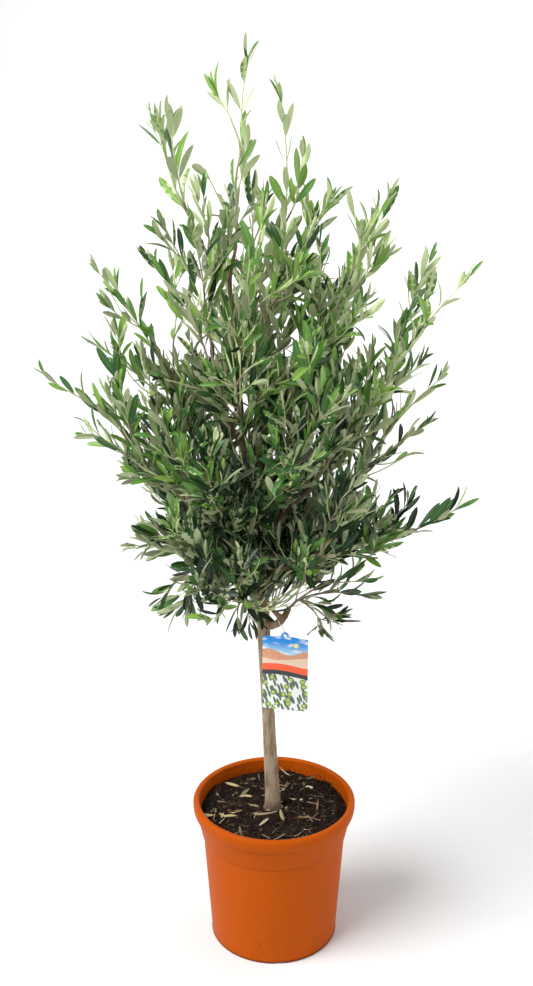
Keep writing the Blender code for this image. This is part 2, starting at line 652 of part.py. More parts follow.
def grow_leaves(seed, lines, own, others):
    """Pairs of leaves, each pair a quarter turn from the last, and one leaf at each tip.

    A leaf that would come too near another node, or lie across its own mass's
    twigs and leaves, is tried at other angles, and left out where none is clear.
    """
    rng = random.Random(seed)
    leaves = []

    def add(place, along, turn, spread, size):
        leaf = place_leaf(place, along, turn, spread, size, others, tree_of(own + leaves))
        if leaf:
            leaves.append(leaf)

    for line in lines:
        add(line[-1], unit(line[-1] - line[-2]), 0.0, TIP_SPREAD, TIP_LEAF / LEAF_LENGTH)
    for line in lines:
        length = length_of(line)
        pairs = max(2, round(length / LEAF_SPACING))
        turn = rng.uniform(0, math.tau)
        for index in range(pairs):
            step = (index + rng.uniform(-0.2, 0.2)) / (pairs - 1)
            fraction = FIRST_PAIR + (LAST_PAIR - FIRST_PAIR) * step
            turn += math.pi / 2 + rng.uniform(-0.4, 0.4)
            spread = BASE_SPREAD + (END_SPREAD - BASE_SPREAD) * fraction
            size = rng.uniform(0.9, 1.1) * (BASE_SIZE + (END_SIZE - BASE_SIZE) * fraction)
            for half in (0, 1):
                reach = np.clip(fraction + half * PAIR_STEP / length, 0.06, 0.96)
                add(*on_line(line, reach), turn + half * math.pi, spread, size)
    return leaves


def join_mass(name, shells):
    """One Boolean union of a stem with its side shoots and leaves, or nothing if it isn't a sound body."""
    stem = add_object(name, mesh_of(name, shells[0]), "olive_leaf")
    parts = bpy.data.collections.new(name + "_parts")
    bpy.context.scene.collection.children.link(parts)
    for index, shell in enumerate(shells[1:]):
        mesh = mesh_of("%s_part_%d" % (name, index), shell)
        parts.objects.link(bpy.data.objects.new(mesh.name, mesh))
    union = stem.modifiers.new("union", "BOOLEAN")
    union.operation = "UNION"
    union.operand_type = "COLLECTION"
    union.collection = parts
    union.solver = "EXACT"
    graph = bpy.context.evaluated_depsgraph_get()
    joined = bpy.data.meshes.new_from_object(stem.evaluated_get(graph))
    stem.modifiers.clear()
    for thing in list(parts.objects):
        bpy.data.objects.remove(thing, do_unlink=True)
    bpy.data.collections.remove(parts)
    if not keep_largest(joined):
        bpy.data.objects.remove(stem, do_unlink=True)
        return None
    stem.data = joined
    joined.name = name
    return stem


def keep_largest(mesh):
    """Keep a mesh's largest body, without loose scraps and sealed hollows, and say if it is sound.

    It is sound if every edge has two faces, also once points that nearly touch are merged.
    """
    work = bmesh.new()
    work.from_mesh(mesh)
    left, bodies = set(work.faces), []
    while left:
        body, queue = [], [left.pop()]
        while queue:
            body.append(queue.pop())
            near = {face for edge in body[-1].edges for face in edge.link_faces} & left
            left -= near
            queue.extend(near)
        bodies.append(body)
    for body in sorted(bodies, key=len)[:-1]:
        bmesh.ops.delete(work, geom=body, context="FACES")
    work.to_mesh(mesh)
    bmesh.ops.triangulate(work, faces=work.faces)
    bmesh.ops.remove_doubles(work, verts=work.verts, dist=TOUCHING)
    sound = all(edge.is_manifold for edge in work.edges)
    work.free()
    return sound


def make_foliage(limbs, limb_shells, label_shell):
    """Every mass in turn, its leaves kept off the limbs, the label and all the other masses."""
    twigs = grow_shoots(limbs, limb_shells)
    taken = {name: [shell for line, shell in owned] for name, owned in twigs.items()}
    fixed = list(limb_shells.values()) + [label_shell]
    for name, owned in twigs.items():
        own = list(taken[name])
        others = [shell for owner, shells in taken.items() if owner != name for shell in shells]
        others = tree_of(fixed + others)
        for attempt in range(ATTEMPTS):
            leaves = grow_leaves("%s %d" % (name, attempt), [line for line, shell in owned], own, others)
            if join_mass(name, own + leaves):
                break
        taken[name] = own + leaves


def main():
    clear_scene()
    make_pot()
    make_soil()
    limbs, limb_shells = make_limbs()
    card = make_label(limbs)
    make_foliage(limbs, limb_shells, placed_shell(card))


main()
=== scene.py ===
"""A young olive tree in a nursery pot, dressed: metres, +Z up, the front along -Y."""
import math

import bpy
import numpy as np
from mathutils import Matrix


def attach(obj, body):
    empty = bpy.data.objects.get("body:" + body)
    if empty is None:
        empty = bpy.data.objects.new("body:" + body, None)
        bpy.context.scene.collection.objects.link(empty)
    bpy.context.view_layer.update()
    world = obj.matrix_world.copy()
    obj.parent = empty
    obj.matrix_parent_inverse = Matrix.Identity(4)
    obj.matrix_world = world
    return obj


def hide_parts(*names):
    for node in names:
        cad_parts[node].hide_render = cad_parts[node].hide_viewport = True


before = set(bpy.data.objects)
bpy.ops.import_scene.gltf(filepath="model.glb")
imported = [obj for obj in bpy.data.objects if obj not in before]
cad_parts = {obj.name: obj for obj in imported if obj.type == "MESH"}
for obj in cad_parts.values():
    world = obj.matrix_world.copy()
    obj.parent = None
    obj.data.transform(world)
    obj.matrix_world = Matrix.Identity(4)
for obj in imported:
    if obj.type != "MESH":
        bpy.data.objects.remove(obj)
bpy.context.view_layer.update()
scene = bpy.context.scene

# ---- Pot ----
# A moulded plastic nursery pot with a rolled lip on a flared band and four drain notches
# under its foot. It stands on the floor; its wall leans outwards so that pots nest.
POT_HEIGHT = 0.280
RIM_RADIUS = 0.150
RIM_INSIDE = 0.138
LIP_FOOT = 0.252                # the lip's lower edge
LIP_ROUND = 0.0065              # radius of the lip's top edge outside,
MOUTH_ROUND = 0.0045            # inside,
LIP_CREASE = 0.0014             # and of its lower edge
NECK_LEVEL = 0.200              # the body meets the flared band
NECK_RADIUS = 0.132
FLARE = 0.0075                  # how much the band widens up to the lip
FOOT_RADIUS = 0.1182
FOOT_ROUND = 0.003
POT_FLOOR = 0.006
WALL = 0.003
GROOVE_LEVEL = 0.2095
GROOVE_DEPTH = 0.0010
GROOVE_SAG, GROOVE_HALF = 0.0006, 0.0016    # the soft dip about the groove
NOTCH_HEIGHT = 0.004
NOTCH_DEPTH = 0.010
NOTCH_HALF = math.atan(0.011 / FOOT_RADIUS)
NOTCH_TURNS = math.radians(-85) + np.arange(4) * math.tau / 4
POT_COLUMNS = 168


class Value:
    """An output socket: arithmetic on it adds the Math nodes that work it out."""

    def __init__(self, finish, socket):
        self.finish, self.socket = finish, socket

    def math(self, operation, first, second):
        """Add one Math node on two values."""
        inputs = {"Value": first, "Value_001": second}
        return self.finish.node("ShaderNodeMath", {"operation": operation}, inputs)

    def __add__(self, other):
        return self.math("ADD", self, other)

    def __sub__(self, other):
        return self.math("SUBTRACT", self, other)

    def __rsub__(self, other):
        return self.math("SUBTRACT", other, self)

    def __mul__(self, other):
        return self.math("MULTIPLY", self, other)

    def __gt__(self, other):
        return self.math("GREATER_THAN", self, other)

    def __lt__(self, other):
        return self.math("LESS_THAN", self, other)

    __radd__, __rmul__ = __add__, __mul__


class Finish:
    """A material whose shader is fed by nodes."""

    def __init__(self, name, colour=(0.5, 0.5, 0.5), roughness=0.5):
        self.material = bpy.data.materials.new(name)
        self.material.use_nodes = True
        self.shader = self.material.node_tree.nodes["Principled BSDF"]
        self.set(Base_Color=colour, Roughness=roughness)

    def set(self, **inputs):
        """Put values or links into the shader's sockets; _ stands for a space."""
        for name, value in inputs.items():
            self.feed(self.shader.inputs, name.replace("_", " "), value)
        return self

    @staticmethod
    def pick(sockets, name):
        """The first socket with this name or identifier."""
        return next(socket for socket in sockets if name in (socket.identifier, socket.name))

    def feed(self, sockets, name, value):
        """Link a Value to a socket, or set the socket to a number or a colour."""
        socket = self.pick(sockets, name)
        if isinstance(value, Value):
            self.material.node_tree.links.new(value.socket, socket)
        elif socket.type == "RGBA":
            socket.default_value = (*value[:3], 1.0)
        else:
            socket.default_value = value

    def node(self, kind, settings=(), inputs=(), output=None):
        """Add a node: its settings first, then a value or a link for each socket that is named."""
        made = self.material.node_tree.nodes.new(kind)
        for name, value in dict(settings).items():
            if name == "stops":
                for index, (place, colour) in enumerate(value):
                    stop = (made.color_ramp.elements[index] if index < 2
                            else made.color_ramp.elements.new(place))
                    stop.position, stop.color = place, (*colour, 1.0)
            else:
                setattr(made, name, value)
        for name, value in dict(inputs).items():
            self.feed(made.inputs, name, value)
        return Value(self, self.pick(made.outputs, output) if output else made.outputs[0])

    def place(self, stretch=(1.0, 1.0, 1.0)):
        """The place on the object in metres, each axis times its stretch."""
        spot = self.node("ShaderNodeTexCoord", output="Object")
        return self.node("ShaderNodeMapping", {}, {"Vector": spot, "Scale": stretch})

    def noise(self, size, stretch=(1.0, 1.0, 1.0), detail=3.0):
        """Soft random values from 0 to 1 whose spots are about this size, in metres."""
        inputs = {"Vector": self.place(stretch), "Scale": 1.0 / size, "Detail": detail}
        return self.node("ShaderNodeTexNoise", {}, inputs)

    def ease(self, value, low, high):
        """0 below low, 1 above high, and a soft step between."""
        inputs = {"Value": value, "From Min": low, "From Max": high}
        return self.node("ShaderNodeMapRange", {"interpolation_type": "SMOOTHSTEP"}, inputs)

    def mix(self, share, first, second):
        """The first colour, turning to the second as the share goes from 0 to 1."""
        inputs = {"Factor_Float": share, "A_Color": first, "B_Color": second}
        return self.node("ShaderNodeMix", {"data_type": "RGBA"}, inputs, "Result_Color")

    def along(self, axis):
        """The place along one axis, in metres; along Z it is the height above the floor."""
        return self.node("ShaderNodeSeparateXYZ", {}, {"Vector": self.place()}, axis)

    def band(self, value, start, full, fade, end):
        """1 from full to fade, 0 below start and above end, with soft steps between."""
        return self.ease(value, start, full) * (1 - self.ease(value, fade, end))

    def bump(self, relief, depth):
        """Tilt the surface by a relief of 0 to 1 that stands for this depth, in metres."""
        self.set(Normal=self.node("ShaderNodeBump", {}, {"Height": relief, "Distance": depth}))
        return self


def add_piece(name, points, blocks, finishes, marks=None, sharp=None):
    """A mesh from an array of points and blocks of faces: rows of corners, one width to a block.

    marks gives each face's finish by its number. Edges sharper than an angle stay crisp.
    """
    mesh = bpy.data.meshes.new(name)
    mesh.vertices.add(len(points))
    mesh.vertices.foreach_set("co", np.asarray(points, np.float32).ravel())
    widths = np.concatenate([np.full(len(block), block.shape[1]) for block in blocks])
    mesh.loops.add(int(widths.sum()))
    mesh.loops.foreach_set("vertex_index", np.concatenate([block.ravel() for block in blocks]))
    mesh.polygons.add(len(widths))
    mesh.polygons.foreach_set("loop_start", np.cumsum(widths) - widths)
    for finish in finishes:
        mesh.materials.append(finish.material)
    if marks is not None:
        mesh.polygons.foreach_set("material_index", marks)
    mesh.update(calc_edges=True)
    mesh.shade_smooth()
    if sharp:
        mesh.set_sharp_from_angle(angle=math.radians(sharp))
    piece = bpy.data.objects.new(name, mesh)
    scene.collection.objects.link(piece)
    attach(piece, "root")
    return piece


def around(radius, turn, height):
    """Points at turns round the middle line: x = r cos a, y = r sin a, z the height."""
    return np.stack(np.broadcast_arrays(radius * np.cos(turn), radius * np.sin(turn), height), axis=-1)


def grid_faces(rows, columns):
    """Quads between the rows of a grid whose last column meets its first."""
    row = np.arange(rows - 1)[:, None]
    column = np.arange(columns)[None]
    after = (column + 1) % columns
    corners = (row * columns + column, row * columns + after,
               (row + 1) * columns + after, (row + 1) * columns + column)
    return np.stack(np.broadcast_arrays(*corners), axis=-1).reshape(-1, 4)


def fan_faces(pole, start, columns, first):
    """Triangles from a pole to a ring of points; first says that the pole comes before the ring."""
    here = start + np.arange(columns)
    after = start + (np.arange(columns) + 1) % columns
    pair = (after, here) if first else (here, after)
    return np.stack((np.full(columns, pole), *pair), axis=-1)


def pot_outline():
    """The pot's section as rows of radius and height, from its middle below to its middle inside.

    Straight runs of the body and the band, with arcs for the foot, the lip and the corner inside.
    """
    def arc(middle, radius, start, end, count=6):
        """Points on a circle from one angle to another, in degrees."""
        turns = np.radians(np.linspace(start, end, count))
        return np.stack((middle[0] + radius * np.cos(turns), middle[1] + radius * np.sin(turns)), -1)

    notch = FOOT_RADIUS - NOTCH_DEPTH
    below = np.array(((0.03, 0.0), (0.07, 0.0), (notch - 0.0002, 0.0), (notch, 0.0), (0.112, 0.0)))
    foot = arc((FOOT_RADIUS - 0.0028, FOOT_ROUND), FOOT_ROUND, -90, -5)
    levels = np.sort(np.concatenate((
        (0.0041, 0.006), np.linspace(0.012, LIP_FOOT, 49),
        GROOVE_LEVEL + np.array((-0.0014, -0.0001, 0.0003)))))
    body = FOOT_RADIUS + (NECK_RADIUS - FOOT_RADIUS) * levels / NECK_LEVEL
    flared = np.clip((levels - NECK_LEVEL) / (LIP_FOOT - NECK_LEVEL), 0, 1)
    body += FLARE * flared ** 1.2 - GROOVE_DEPTH * (levels < GROOVE_LEVEL)
    body -= GROOVE_SAG * np.exp(-((levels - GROOVE_LEVEL) / GROOVE_HALF) ** 2)
    wall = np.stack((body, levels), -1)
    under = np.array(((body[-1] + 0.0004, LIP_FOOT - 0.0004),))
    lip = np.vstack((
        arc((body[-1] + 0.0016, LIP_FOOT + 0.0016), LIP_CREASE, -90, 0, 4),
        ((RIM_RADIUS - 0.0012, 0.260), (RIM_RADIUS - 0.0003, 0.266)),
        arc((RIM_RADIUS - LIP_ROUND, POT_HEIGHT - LIP_ROUND), LIP_ROUND, 10, 90, 8),
        arc((RIM_INSIDE + MOUTH_ROUND, POT_HEIGHT - 0.0048), MOUTH_ROUND, 90, 190, 8),
    ))
    inner = np.stack((body - WALL, levels), -1)[3:-2:3][::-1]
    neck = np.array(((RIM_INSIDE - 0.0014, 0.2600), (RIM_INSIDE - 0.0022, 0.2540)))
    corner = np.array(((FOOT_RADIUS - WALL - 0.001, 0.010), (FOOT_RADIUS - WALL - 0.004, POT_FLOOR),
                       (0.060, POT_FLOOR)))
    return np.vstack((below, foot, wall, under, lip, neck, inner, corner))


def make_pot(finishes):
    """The outline turned once round; inside a notch the foot rises."""
    edges = np.concatenate([NOTCH_TURNS + side * NOTCH_HALF * share
                            for side in (-1, 1) for share in (0.985, 1.0)])
    turns = np.sort(np.concatenate((np.arange(POT_COLUMNS) * math.tau / POT_COLUMNS,
                                    edges % math.tau)))
    outline = pot_outline()
    radius, height = outline[:, :1], outline[:, 1:]
    off = np.abs((turns[None] - NOTCH_TURNS[:, None] + math.pi) % math.tau - math.pi).min(axis=0)
    cut = (off < 0.99 * NOTCH_HALF)[None] & (radius > FOOT_RADIUS - NOTCH_DEPTH - 0.0001)
    height = np.where(cut, np.maximum(height, NOTCH_HEIGHT), height)
    points = around(radius, turns, height).reshape(-1, 3)
    rows, columns, last = len(outline), len(turns), len(points)
    points = np.vstack((points, (0.0, 0.0, 0.0), (0.0, 0.0, POT_FLOOR)))
    blocks = [grid_faces(rows, columns), fan_faces(last, 0, columns, True),
              fan_faces(last + 1, last - columns, columns, False)]
    return add_piece("pot_shell", points, blocks, finishes, sharp=38)


plastic = Finish("orange plastic")
streaks = plastic.noise(0.020, stretch=(1, 1, 0.07))
cloud = plastic.noise(0.09)
dust = plastic.ease(plastic.noise(0.006, detail=6), 0.60, 0.72)
height = plastic.along("Z")
low = 1 - plastic.ease(height, 0.01, 0.15)
nick = plastic.ease(plastic.noise(0.011, stretch=(1, 1, 1.8), detail=1), 0.735, 0.76) * low
tone = plastic.mix(streaks * 0.6 + cloud * 0.5 - 0.1, (0.375, 0.061, 0.0006), (0.465, 0.081, 0.0012))
tone = plastic.mix(dust * 0.14, tone, (0.55, 0.18, 0.05))
tone = plastic.mix(nick * 0.85, tone, (0.13, 0.030, 0.010))
# Painted shade: the plastic darkens in the groove, under the lip's edge and round the foot and its notches.
groove_shade = plastic.band(height - GROOVE_LEVEL, -0.0018, -0.0004, 0.0, 0.0012)
under_lip_shade = plastic.band(height - LIP_FOOT, -0.0030, -0.0006, 0.0004, 0.0016)
foot_shade = 1 - plastic.ease(height, 0.0036, 0.0052)
tone = plastic.mix(groove_shade * 0.45 + under_lip_shade * 0.50 + foot_shade * 0.80, tone, (0.085, 0.018, 0.004))
splash = plastic.ease(plastic.noise(0.004, detail=4), 0.50, 0.66)
above_soil = plastic.band(height, 0.2545, 0.256, 0.262, 0.268)
x, y = plastic.along("X"), plastic.along("Y")
inside = (x * x + y * y) < (RIM_INSIDE - 0.0008) ** 2
tone = plastic.mix(splash * above_soil * inside * 0.75, tone, (0.045, 0.022, 0.012))
plastic.set(Base_Color=tone, Roughness=streaks * 0.10 + dust * 0.20 + 0.42, Specular_IOR_Level=0.06)
plastic.bump(plastic.noise(0.0016, detail=2) * 0.35 + streaks * 0.4 - nick * 0.9, 0.0007)
pot = make_pot([plastic])
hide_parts("pot")

# ---- Soil ----
# Dark peat compost, lumpy and fibrous, a finger below the rim. It fills the pot; crumbs and
# plant fibres lie loose on it.
SOIL_LEVEL = 0.258
SOIL_RADIUS = 0.1352
SOIL_FOOT = 0.0063              # the filling ends just above the pot's floor
SOIL_ROWS, SOIL_COLUMNS = 74, 220
STEM_ROOM = 0.0185              # no crumb lies nearer the stem's middle
CLODS, CRUMBS, FIBRES = 520, 3000, 420


def ripple(seed, waves, *coordinates):
    """A sum of cosine waves of random heading, pitch and phase over the coordinates, mostly -1 to 1."""
    random = np.random.default_rng(seed)
    total = 0.0
    for wave in range(waves):
        heading = random.normal(size=len(coordinates))
        total = total + np.cos(sum(pitch * along for pitch, along in zip(heading, coordinates))
                               + random.uniform(0, math.tau))
    return total / math.sqrt(waves)


def scatter(random, count, radius=SOIL_RADIUS - 0.002):
    """Places spread evenly over the pot's mouth, outside the stem."""
    reach = np.sqrt(random.uniform(STEM_ROOM ** 2, radius ** 2, count))
    turn = random.uniform(0, math.tau, count)
    return reach * np.cos(turn), reach * np.sin(turn)


clod_random = np.random.default_rng(11)
clod_x, clod_y = scatter(clod_random, CLODS)
clod_size = clod_random.uniform(0.0022, 0.0075, CLODS)


def soil_height(x, y):
    """The level, broad waves, clods that rise as Gaussians, and a shallow gutter along the pot's wall."""
    off = (x[..., None] - clod_x) ** 2 + (y[..., None] - clod_y) ** 2
    clods = (0.36 * clod_size * np.exp(-off / clod_size ** 2)).sum(axis=-1)
    gutter = 0.0025 * np.clip((np.hypot(x, y) - 0.115) / 0.02, 0, 1)
    return SOIL_LEVEL - 0.0022 + 0.0014 * ripple(12, 12, 75 * x, 75 * y) + clods - gutter


def make_soil(finishes):
    """A disc of r and a with its top at soil_height, then the wall down and the flat bottom."""
    reach = np.linspace(0.0, SOIL_RADIUS, SOIL_ROWS + 1)[1:]
    turn = np.arange(SOIL_COLUMNS) * math.tau / SOIL_COLUMNS
    x, y = reach[:, None] * np.cos(turn), reach[:, None] * np.sin(turn)
    top = np.stack((x, y, soil_height(x, y)), -1)
    wall = np.array(((0.1347, 0.245), (0.1290, NECK_LEVEL), (0.1160, 0.012), (0.1110, SOIL_FOOT)))
    lower = around(wall[:, :1], turn, wall[:, 1:])
    points = np.concatenate((top, lower)).reshape(-1, 3)
    rows, last = SOIL_ROWS + len(wall), len(points)
    middle = soil_height(np.zeros(1), np.zeros(1))[0]
    points = np.vstack((points, (0.0, 0.0, middle), (0.0, 0.0, SOIL_FOOT)))
    faces = [grid_faces(rows, SOIL_COLUMNS)[:, ::-1], fan_faces(last, 0, SOIL_COLUMNS, False),
             fan_faces(last + 1, last - SOIL_COLUMNS, SOIL_COLUMNS, True)]
    return add_piece("soil_filling", points, faces, finishes, sharp=60)


def lump_points(places, sizes, random):
    """Uneven lumps of twelve corners: two poles and two staggered rings of five, pushed in and out."""
    turn = np.arange(5) * math.tau / 5
    rings = around(1.0, turn, 0.5), around(1.0, turn + math.pi / 5, -0.5)
    ball = np.vstack(((0, 0, 1.1), *rings, (0, 0, -1.1)))
    push = random.uniform(0.6, 1.3, (len(places), 12, 1))
    stretch = random.uniform(0.6, 1.4, (len(places), 1, 3)) * (1, 1, 0.75)
    return places[:, None] + ball * push * stretch * sizes[:, None, None]


def lump_faces(count):
    """The twenty triangles of each lump."""
    here, after = np.arange(5), (np.arange(5) + 1) % 5
    ball = np.vstack((
        np.stack((np.zeros(5, int), 1 + here, 1 + after), -1), np.stack((1 + here, 6 + here, 1 + after), -1),
        np.stack((6 + here, 6 + after, 1 + after), -1), np.stack((np.full(5, 11), 6 + after, 6 + here), -1)))
    return (ball + 12 * np.arange(count)[:, None, None]).reshape(-1, 3)


def unit(vectors):
    """The vectors, each made one long."""
    vectors = np.asarray(vectors, float)
    return vectors / np.linalg.norm(vectors, axis=-1, keepdims=True)


def tube_points(lines, radii, sides):
    """Round tubes: about each line's points runs a ring square to it, at its radius there."""
    ahead = unit(np.gradient(lines, axis=1))
    spare = np.eye(3)[np.argmin(np.abs(lines[:, -1] - lines[:, 0]), axis=1)][:, None]
    out = unit(np.cross(ahead, spare))
    side = np.cross(ahead, out)
    turn = (np.arange(sides) * math.tau / sides)[:, None]
    ring = np.cos(turn) * out[:, :, None] + np.sin(turn) * side[:, :, None]
    return (lines[:, :, None] + radii[:, :, None, None] * ring).reshape(-1, 3)


def tube_faces(count, rows, sides):
    """The quads of each tube, then its two flat ends."""
    start = (np.arange(count) * rows * sides)[:, None]
    walls = (grid_faces(rows, sides) + start[:, :, None]).reshape(-1, 4)
    end = np.arange(sides)
    return [walls, np.vstack((start + end[::-1], start + (rows - 1) * sides + end))]


peat = Finish("peat", roughness=0.95).set(Specular_IOR_Level=0.12)
grit = peat.noise(0.0035, detail=8)
patch = peat.noise(0.028, detail=2)
tone = peat.mix(peat.ease(grit, 0.38, 0.72), (0.005, 0.0030, 0.0022), (0.028, 0.015, 0.009))
tone = peat.mix(peat.ease(patch, 0.52, 0.72) * 0.45, tone, (0.060, 0.034, 0.019))
peat.set(Base_Color=tone, Roughness=1 - patch * 0.14).bump(grit, 0.0022)
soil = make_soil([peat])
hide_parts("soil")

crumb_random = np.random.default_rng(21)
crumb_x, crumb_y = scatter(crumb_random, CRUMBS)
crumb_size = 0.0006 + 0.0022 * crumb_random.uniform(0, 1, CRUMBS) ** 2.2
crumb_place = np.stack((crumb_x, crumb_y, soil_height(crumb_x, crumb_y) + 0.25 * crumb_size), -1)
crumb_finishes = [
    Finish(tint + " crumb", colour, roughness).set(Specular_IOR_Level=sheen)
    for tint, colour, roughness, sheen in (("dark", (0.007, 0.0040, 0.0028), 0.95, 0.15),
                                           ("brown", (0.034, 0.018, 0.010), 0.95, 0.15),
                                           ("pale", (0.110, 0.064, 0.034), 0.92, 0.20))]
kind = crumb_random.choice(3, CRUMBS, p=(0.66, 0.29, 0.05))
crumbs = add_piece("soil_crumbs", lump_points(crumb_place, crumb_size, crumb_random).reshape(-1, 3),
                   [lump_faces(CRUMBS)], crumb_finishes, np.repeat(kind, 20), sharp=40)

fibre_x, fibre_y = scatter(crumb_random, FIBRES, SOIL_RADIUS - 0.010)
fibre_turn = crumb_random.uniform(0, math.tau, FIBRES)
fibre_half = crumb_random.uniform(0.002, 0.008, FIBRES)
step = np.linspace(-1, 1, 5)
sway = 0.25 * crumb_random.normal(size=(FIBRES, 1)) * fibre_half[:, None] * (1 - step ** 2)
fibre_line = np.stack((
    fibre_x[:, None] + fibre_half[:, None] * step * np.cos(fibre_turn)[:, None]
    - sway * np.sin(fibre_turn)[:, None],
    fibre_y[:, None] + fibre_half[:, None] * step * np.sin(fibre_turn)[:, None]
    + sway * np.cos(fibre_turn)[:, None]), -1)
lift = 0.0004 + 0.05 * crumb_random.normal(size=(FIBRES, 1)) * fibre_half[:, None] * step
level = soil_height(fibre_line[:, :, 0], fibre_line[:, :, 1]).max(axis=1, keepdims=True)
fibre_line = np.concatenate((fibre_line, (level + lift)[..., None]), axis=-1)
fibre_thick = crumb_random.uniform(0.00015, 0.00045, (FIBRES, 1)) * np.ones(5)
fibre_finishes = [Finish("dark fibre", (0.042, 0.022, 0.012), 0.9),
                  Finish("tan fibre", (0.20, 0.125, 0.065), 0.85)]
kind = (crumb_random.uniform(size=FIBRES) < 0.26).astype(int)
fibres = add_piece("soil_fibres", tube_points(fibre_line, fibre_thick, 4), tube_faces(FIBRES, 5, 4),
                   fibre_finishes, np.concatenate((np.repeat(kind, 16), np.repeat(kind, 2))))

# ---- Litter ----
# Dropped olive leaves, dry and pale, and snapped bits of twig lie on the compost, the longest
# of them against the stem's foot.
LEAF_PLACES = np.array((0.0, 0.085, 0.20, 0.38, 0.58, 0.77, 0.91))
LEAF_SHAPE = np.array((0.07, 0.08, 0.50, 0.84, 1.00, 0.87, 0.52))   # share of the half width there
LEAF_ACROSS = np.array((-1.0, -0.075, 0.075, 1.0, 0.0))   # edge, midrib's two sides, edge, keel
LEAF_THICK = 0.0005


def square(vectors, ahead):
    """The vectors made square to the directions ahead, and one long."""
    return unit(vectors - ahead * (vectors * ahead).sum(axis=-1, keepdims=True))


def leaf_points(root, ahead, face, length, width, bend, twist, fold):
    """Closed blades: five lines run from the stalk to the tip, the edges, the midrib's sides and a keel.

    The middle bends back on a circle by the bend, the blade turns about it by the twist, and the
    edges rise from the midrib by the fold. The widths follow LEAF_SHAPE.
    """
    t = np.append(LEAF_PLACES, 1.0)[:, None]
    root, ahead, face = (array[:, None] for array in (root, ahead, face))
    length, width, bend, twist, fold = (
        array[:, None, None] for array in (length, width, bend, twist, fold))
    angle, turn = bend * t, twist * t
    middle = root + length * ((t - angle ** 2 * t / 6) * ahead - angle * t / 2 * face)
    normal = np.cos(angle) * face + np.sin(angle) * ahead
    side = np.cross(ahead, face)
    side, normal = (np.cos(turn) * side + np.sin(turn) * normal,
                    np.cos(turn) * normal - np.sin(turn) * side)
    half = 0.5 * width * LEAF_SHAPE[:, None]
    midrib = LEAF_THICK * 0.6 * (1 - LEAF_SHAPE[:, None])
    rise = np.stack(np.broadcast_arrays(fold * half, midrib, midrib, fold * half, -LEAF_THICK), axis=-1)
    blade = (middle[:, :-1, None] + side[:, :-1, None] * (half * LEAF_ACROSS)[..., None]
             + normal[:, :-1, None] * rise[:, :, 0, :, None])
    return np.concatenate((blade.reshape(len(root), -1, 3), middle[:, -1:]), axis=1)


def leaf_faces(count):
    """Each blade's quads, the triangles at its tip and the flat end of its stalk."""
    rows, tip = len(LEAF_PLACES), 5 * len(LEAF_PLACES)
    start = ((tip + 1) * np.arange(count))[:, None, None]
    blocks = grid_faces(rows, 5), fan_faces(tip, tip - 5, 5, False), np.arange(5)[None, ::-1]
    return [(block + start).reshape(-1, block.shape[1]) for block in blocks]


def leaf_marks(count):
    """0 on a blade's face, 1 on its midrib and stalk, 2 underneath."""
    strip = np.array((0, 1, 0, 2, 2))
    rows = np.vstack((np.ones(5, int), np.tile(strip, (len(LEAF_PLACES) - 2, 1))))
    return np.concatenate((np.tile(rows.ravel(), count), np.tile(strip, count), np.ones(count, int)))


def leaf_kinds(kinds):
    """Each leaf's kind, spread over its faces in the order of leaf_faces."""
    return np.concatenate((np.repeat(kinds, 5 * (len(LEAF_PLACES) - 1)), np.repeat(kinds, 5), kinds))


DRY_LEAVES, SNAPPED = 46, 30
litter = np.random.default_rng(34)
dry_x, dry_y = scatter(litter, DRY_LEAVES, SOIL_RADIUS - 0.020)
turn, tilt = litter.uniform(0, math.tau, DRY_LEAVES), 0.10 * litter.normal(size=DRY_LEAVES)
ahead = around(np.cos(tilt), turn, np.sin(tilt))
face = np.stack((0.45 * litter.normal(size=DRY_LEAVES), 0.45 * litter.normal(size=DRY_LEAVES),
                 np.where(litter.uniform(size=DRY_LEAVES) < 0.5, 1.0, -1.0)), -1)
dry_length = litter.uniform(0.009, 0.036, DRY_LEAVES)
dry_root = np.stack((dry_x, dry_y, np.maximum(
    soil_height(dry_x, dry_y),
    soil_height(dry_x + dry_length * ahead[:, 0], dry_y + dry_length * ahead[:, 1])) + 0.0014), -1)
dry_leaf = leaf_points(dry_root, ahead, square(face, ahead), dry_length,
                       dry_length * litter.uniform(0.18, 0.30, DRY_LEAVES),
                       0.6 * litter.normal(size=DRY_LEAVES), 0.8 * litter.normal(size=DRY_LEAVES),
                       litter.uniform(0.0, 0.7, DRY_LEAVES))
dry_finishes = [
    Finish("%s %s" % (tint, side), colour, roughness)
    for tint, *colours in (("straw", (0.47, 0.38, 0.19), (0.58, 0.48, 0.27), (0.56, 0.50, 0.34)),
                           ("tan", (0.16, 0.095, 0.040), (0.26, 0.17, 0.085), (0.30, 0.22, 0.12)),
                           ("faded", (0.16, 0.17, 0.075), (0.32, 0.31, 0.17), (0.38, 0.39, 0.26)))
    for side, colour, roughness in zip(("leaf", "rib", "underside"), colours, (0.7, 0.7, 0.8))]
kind = 3 * litter.choice(3, DRY_LEAVES, p=(0.36, 0.34, 0.30))
dry = add_piece("dry_leaves", dry_leaf.reshape(-1, 3), leaf_faces(DRY_LEAVES), dry_finishes,
                leaf_marks(DRY_LEAVES) + leaf_kinds(kind), sharp=35)

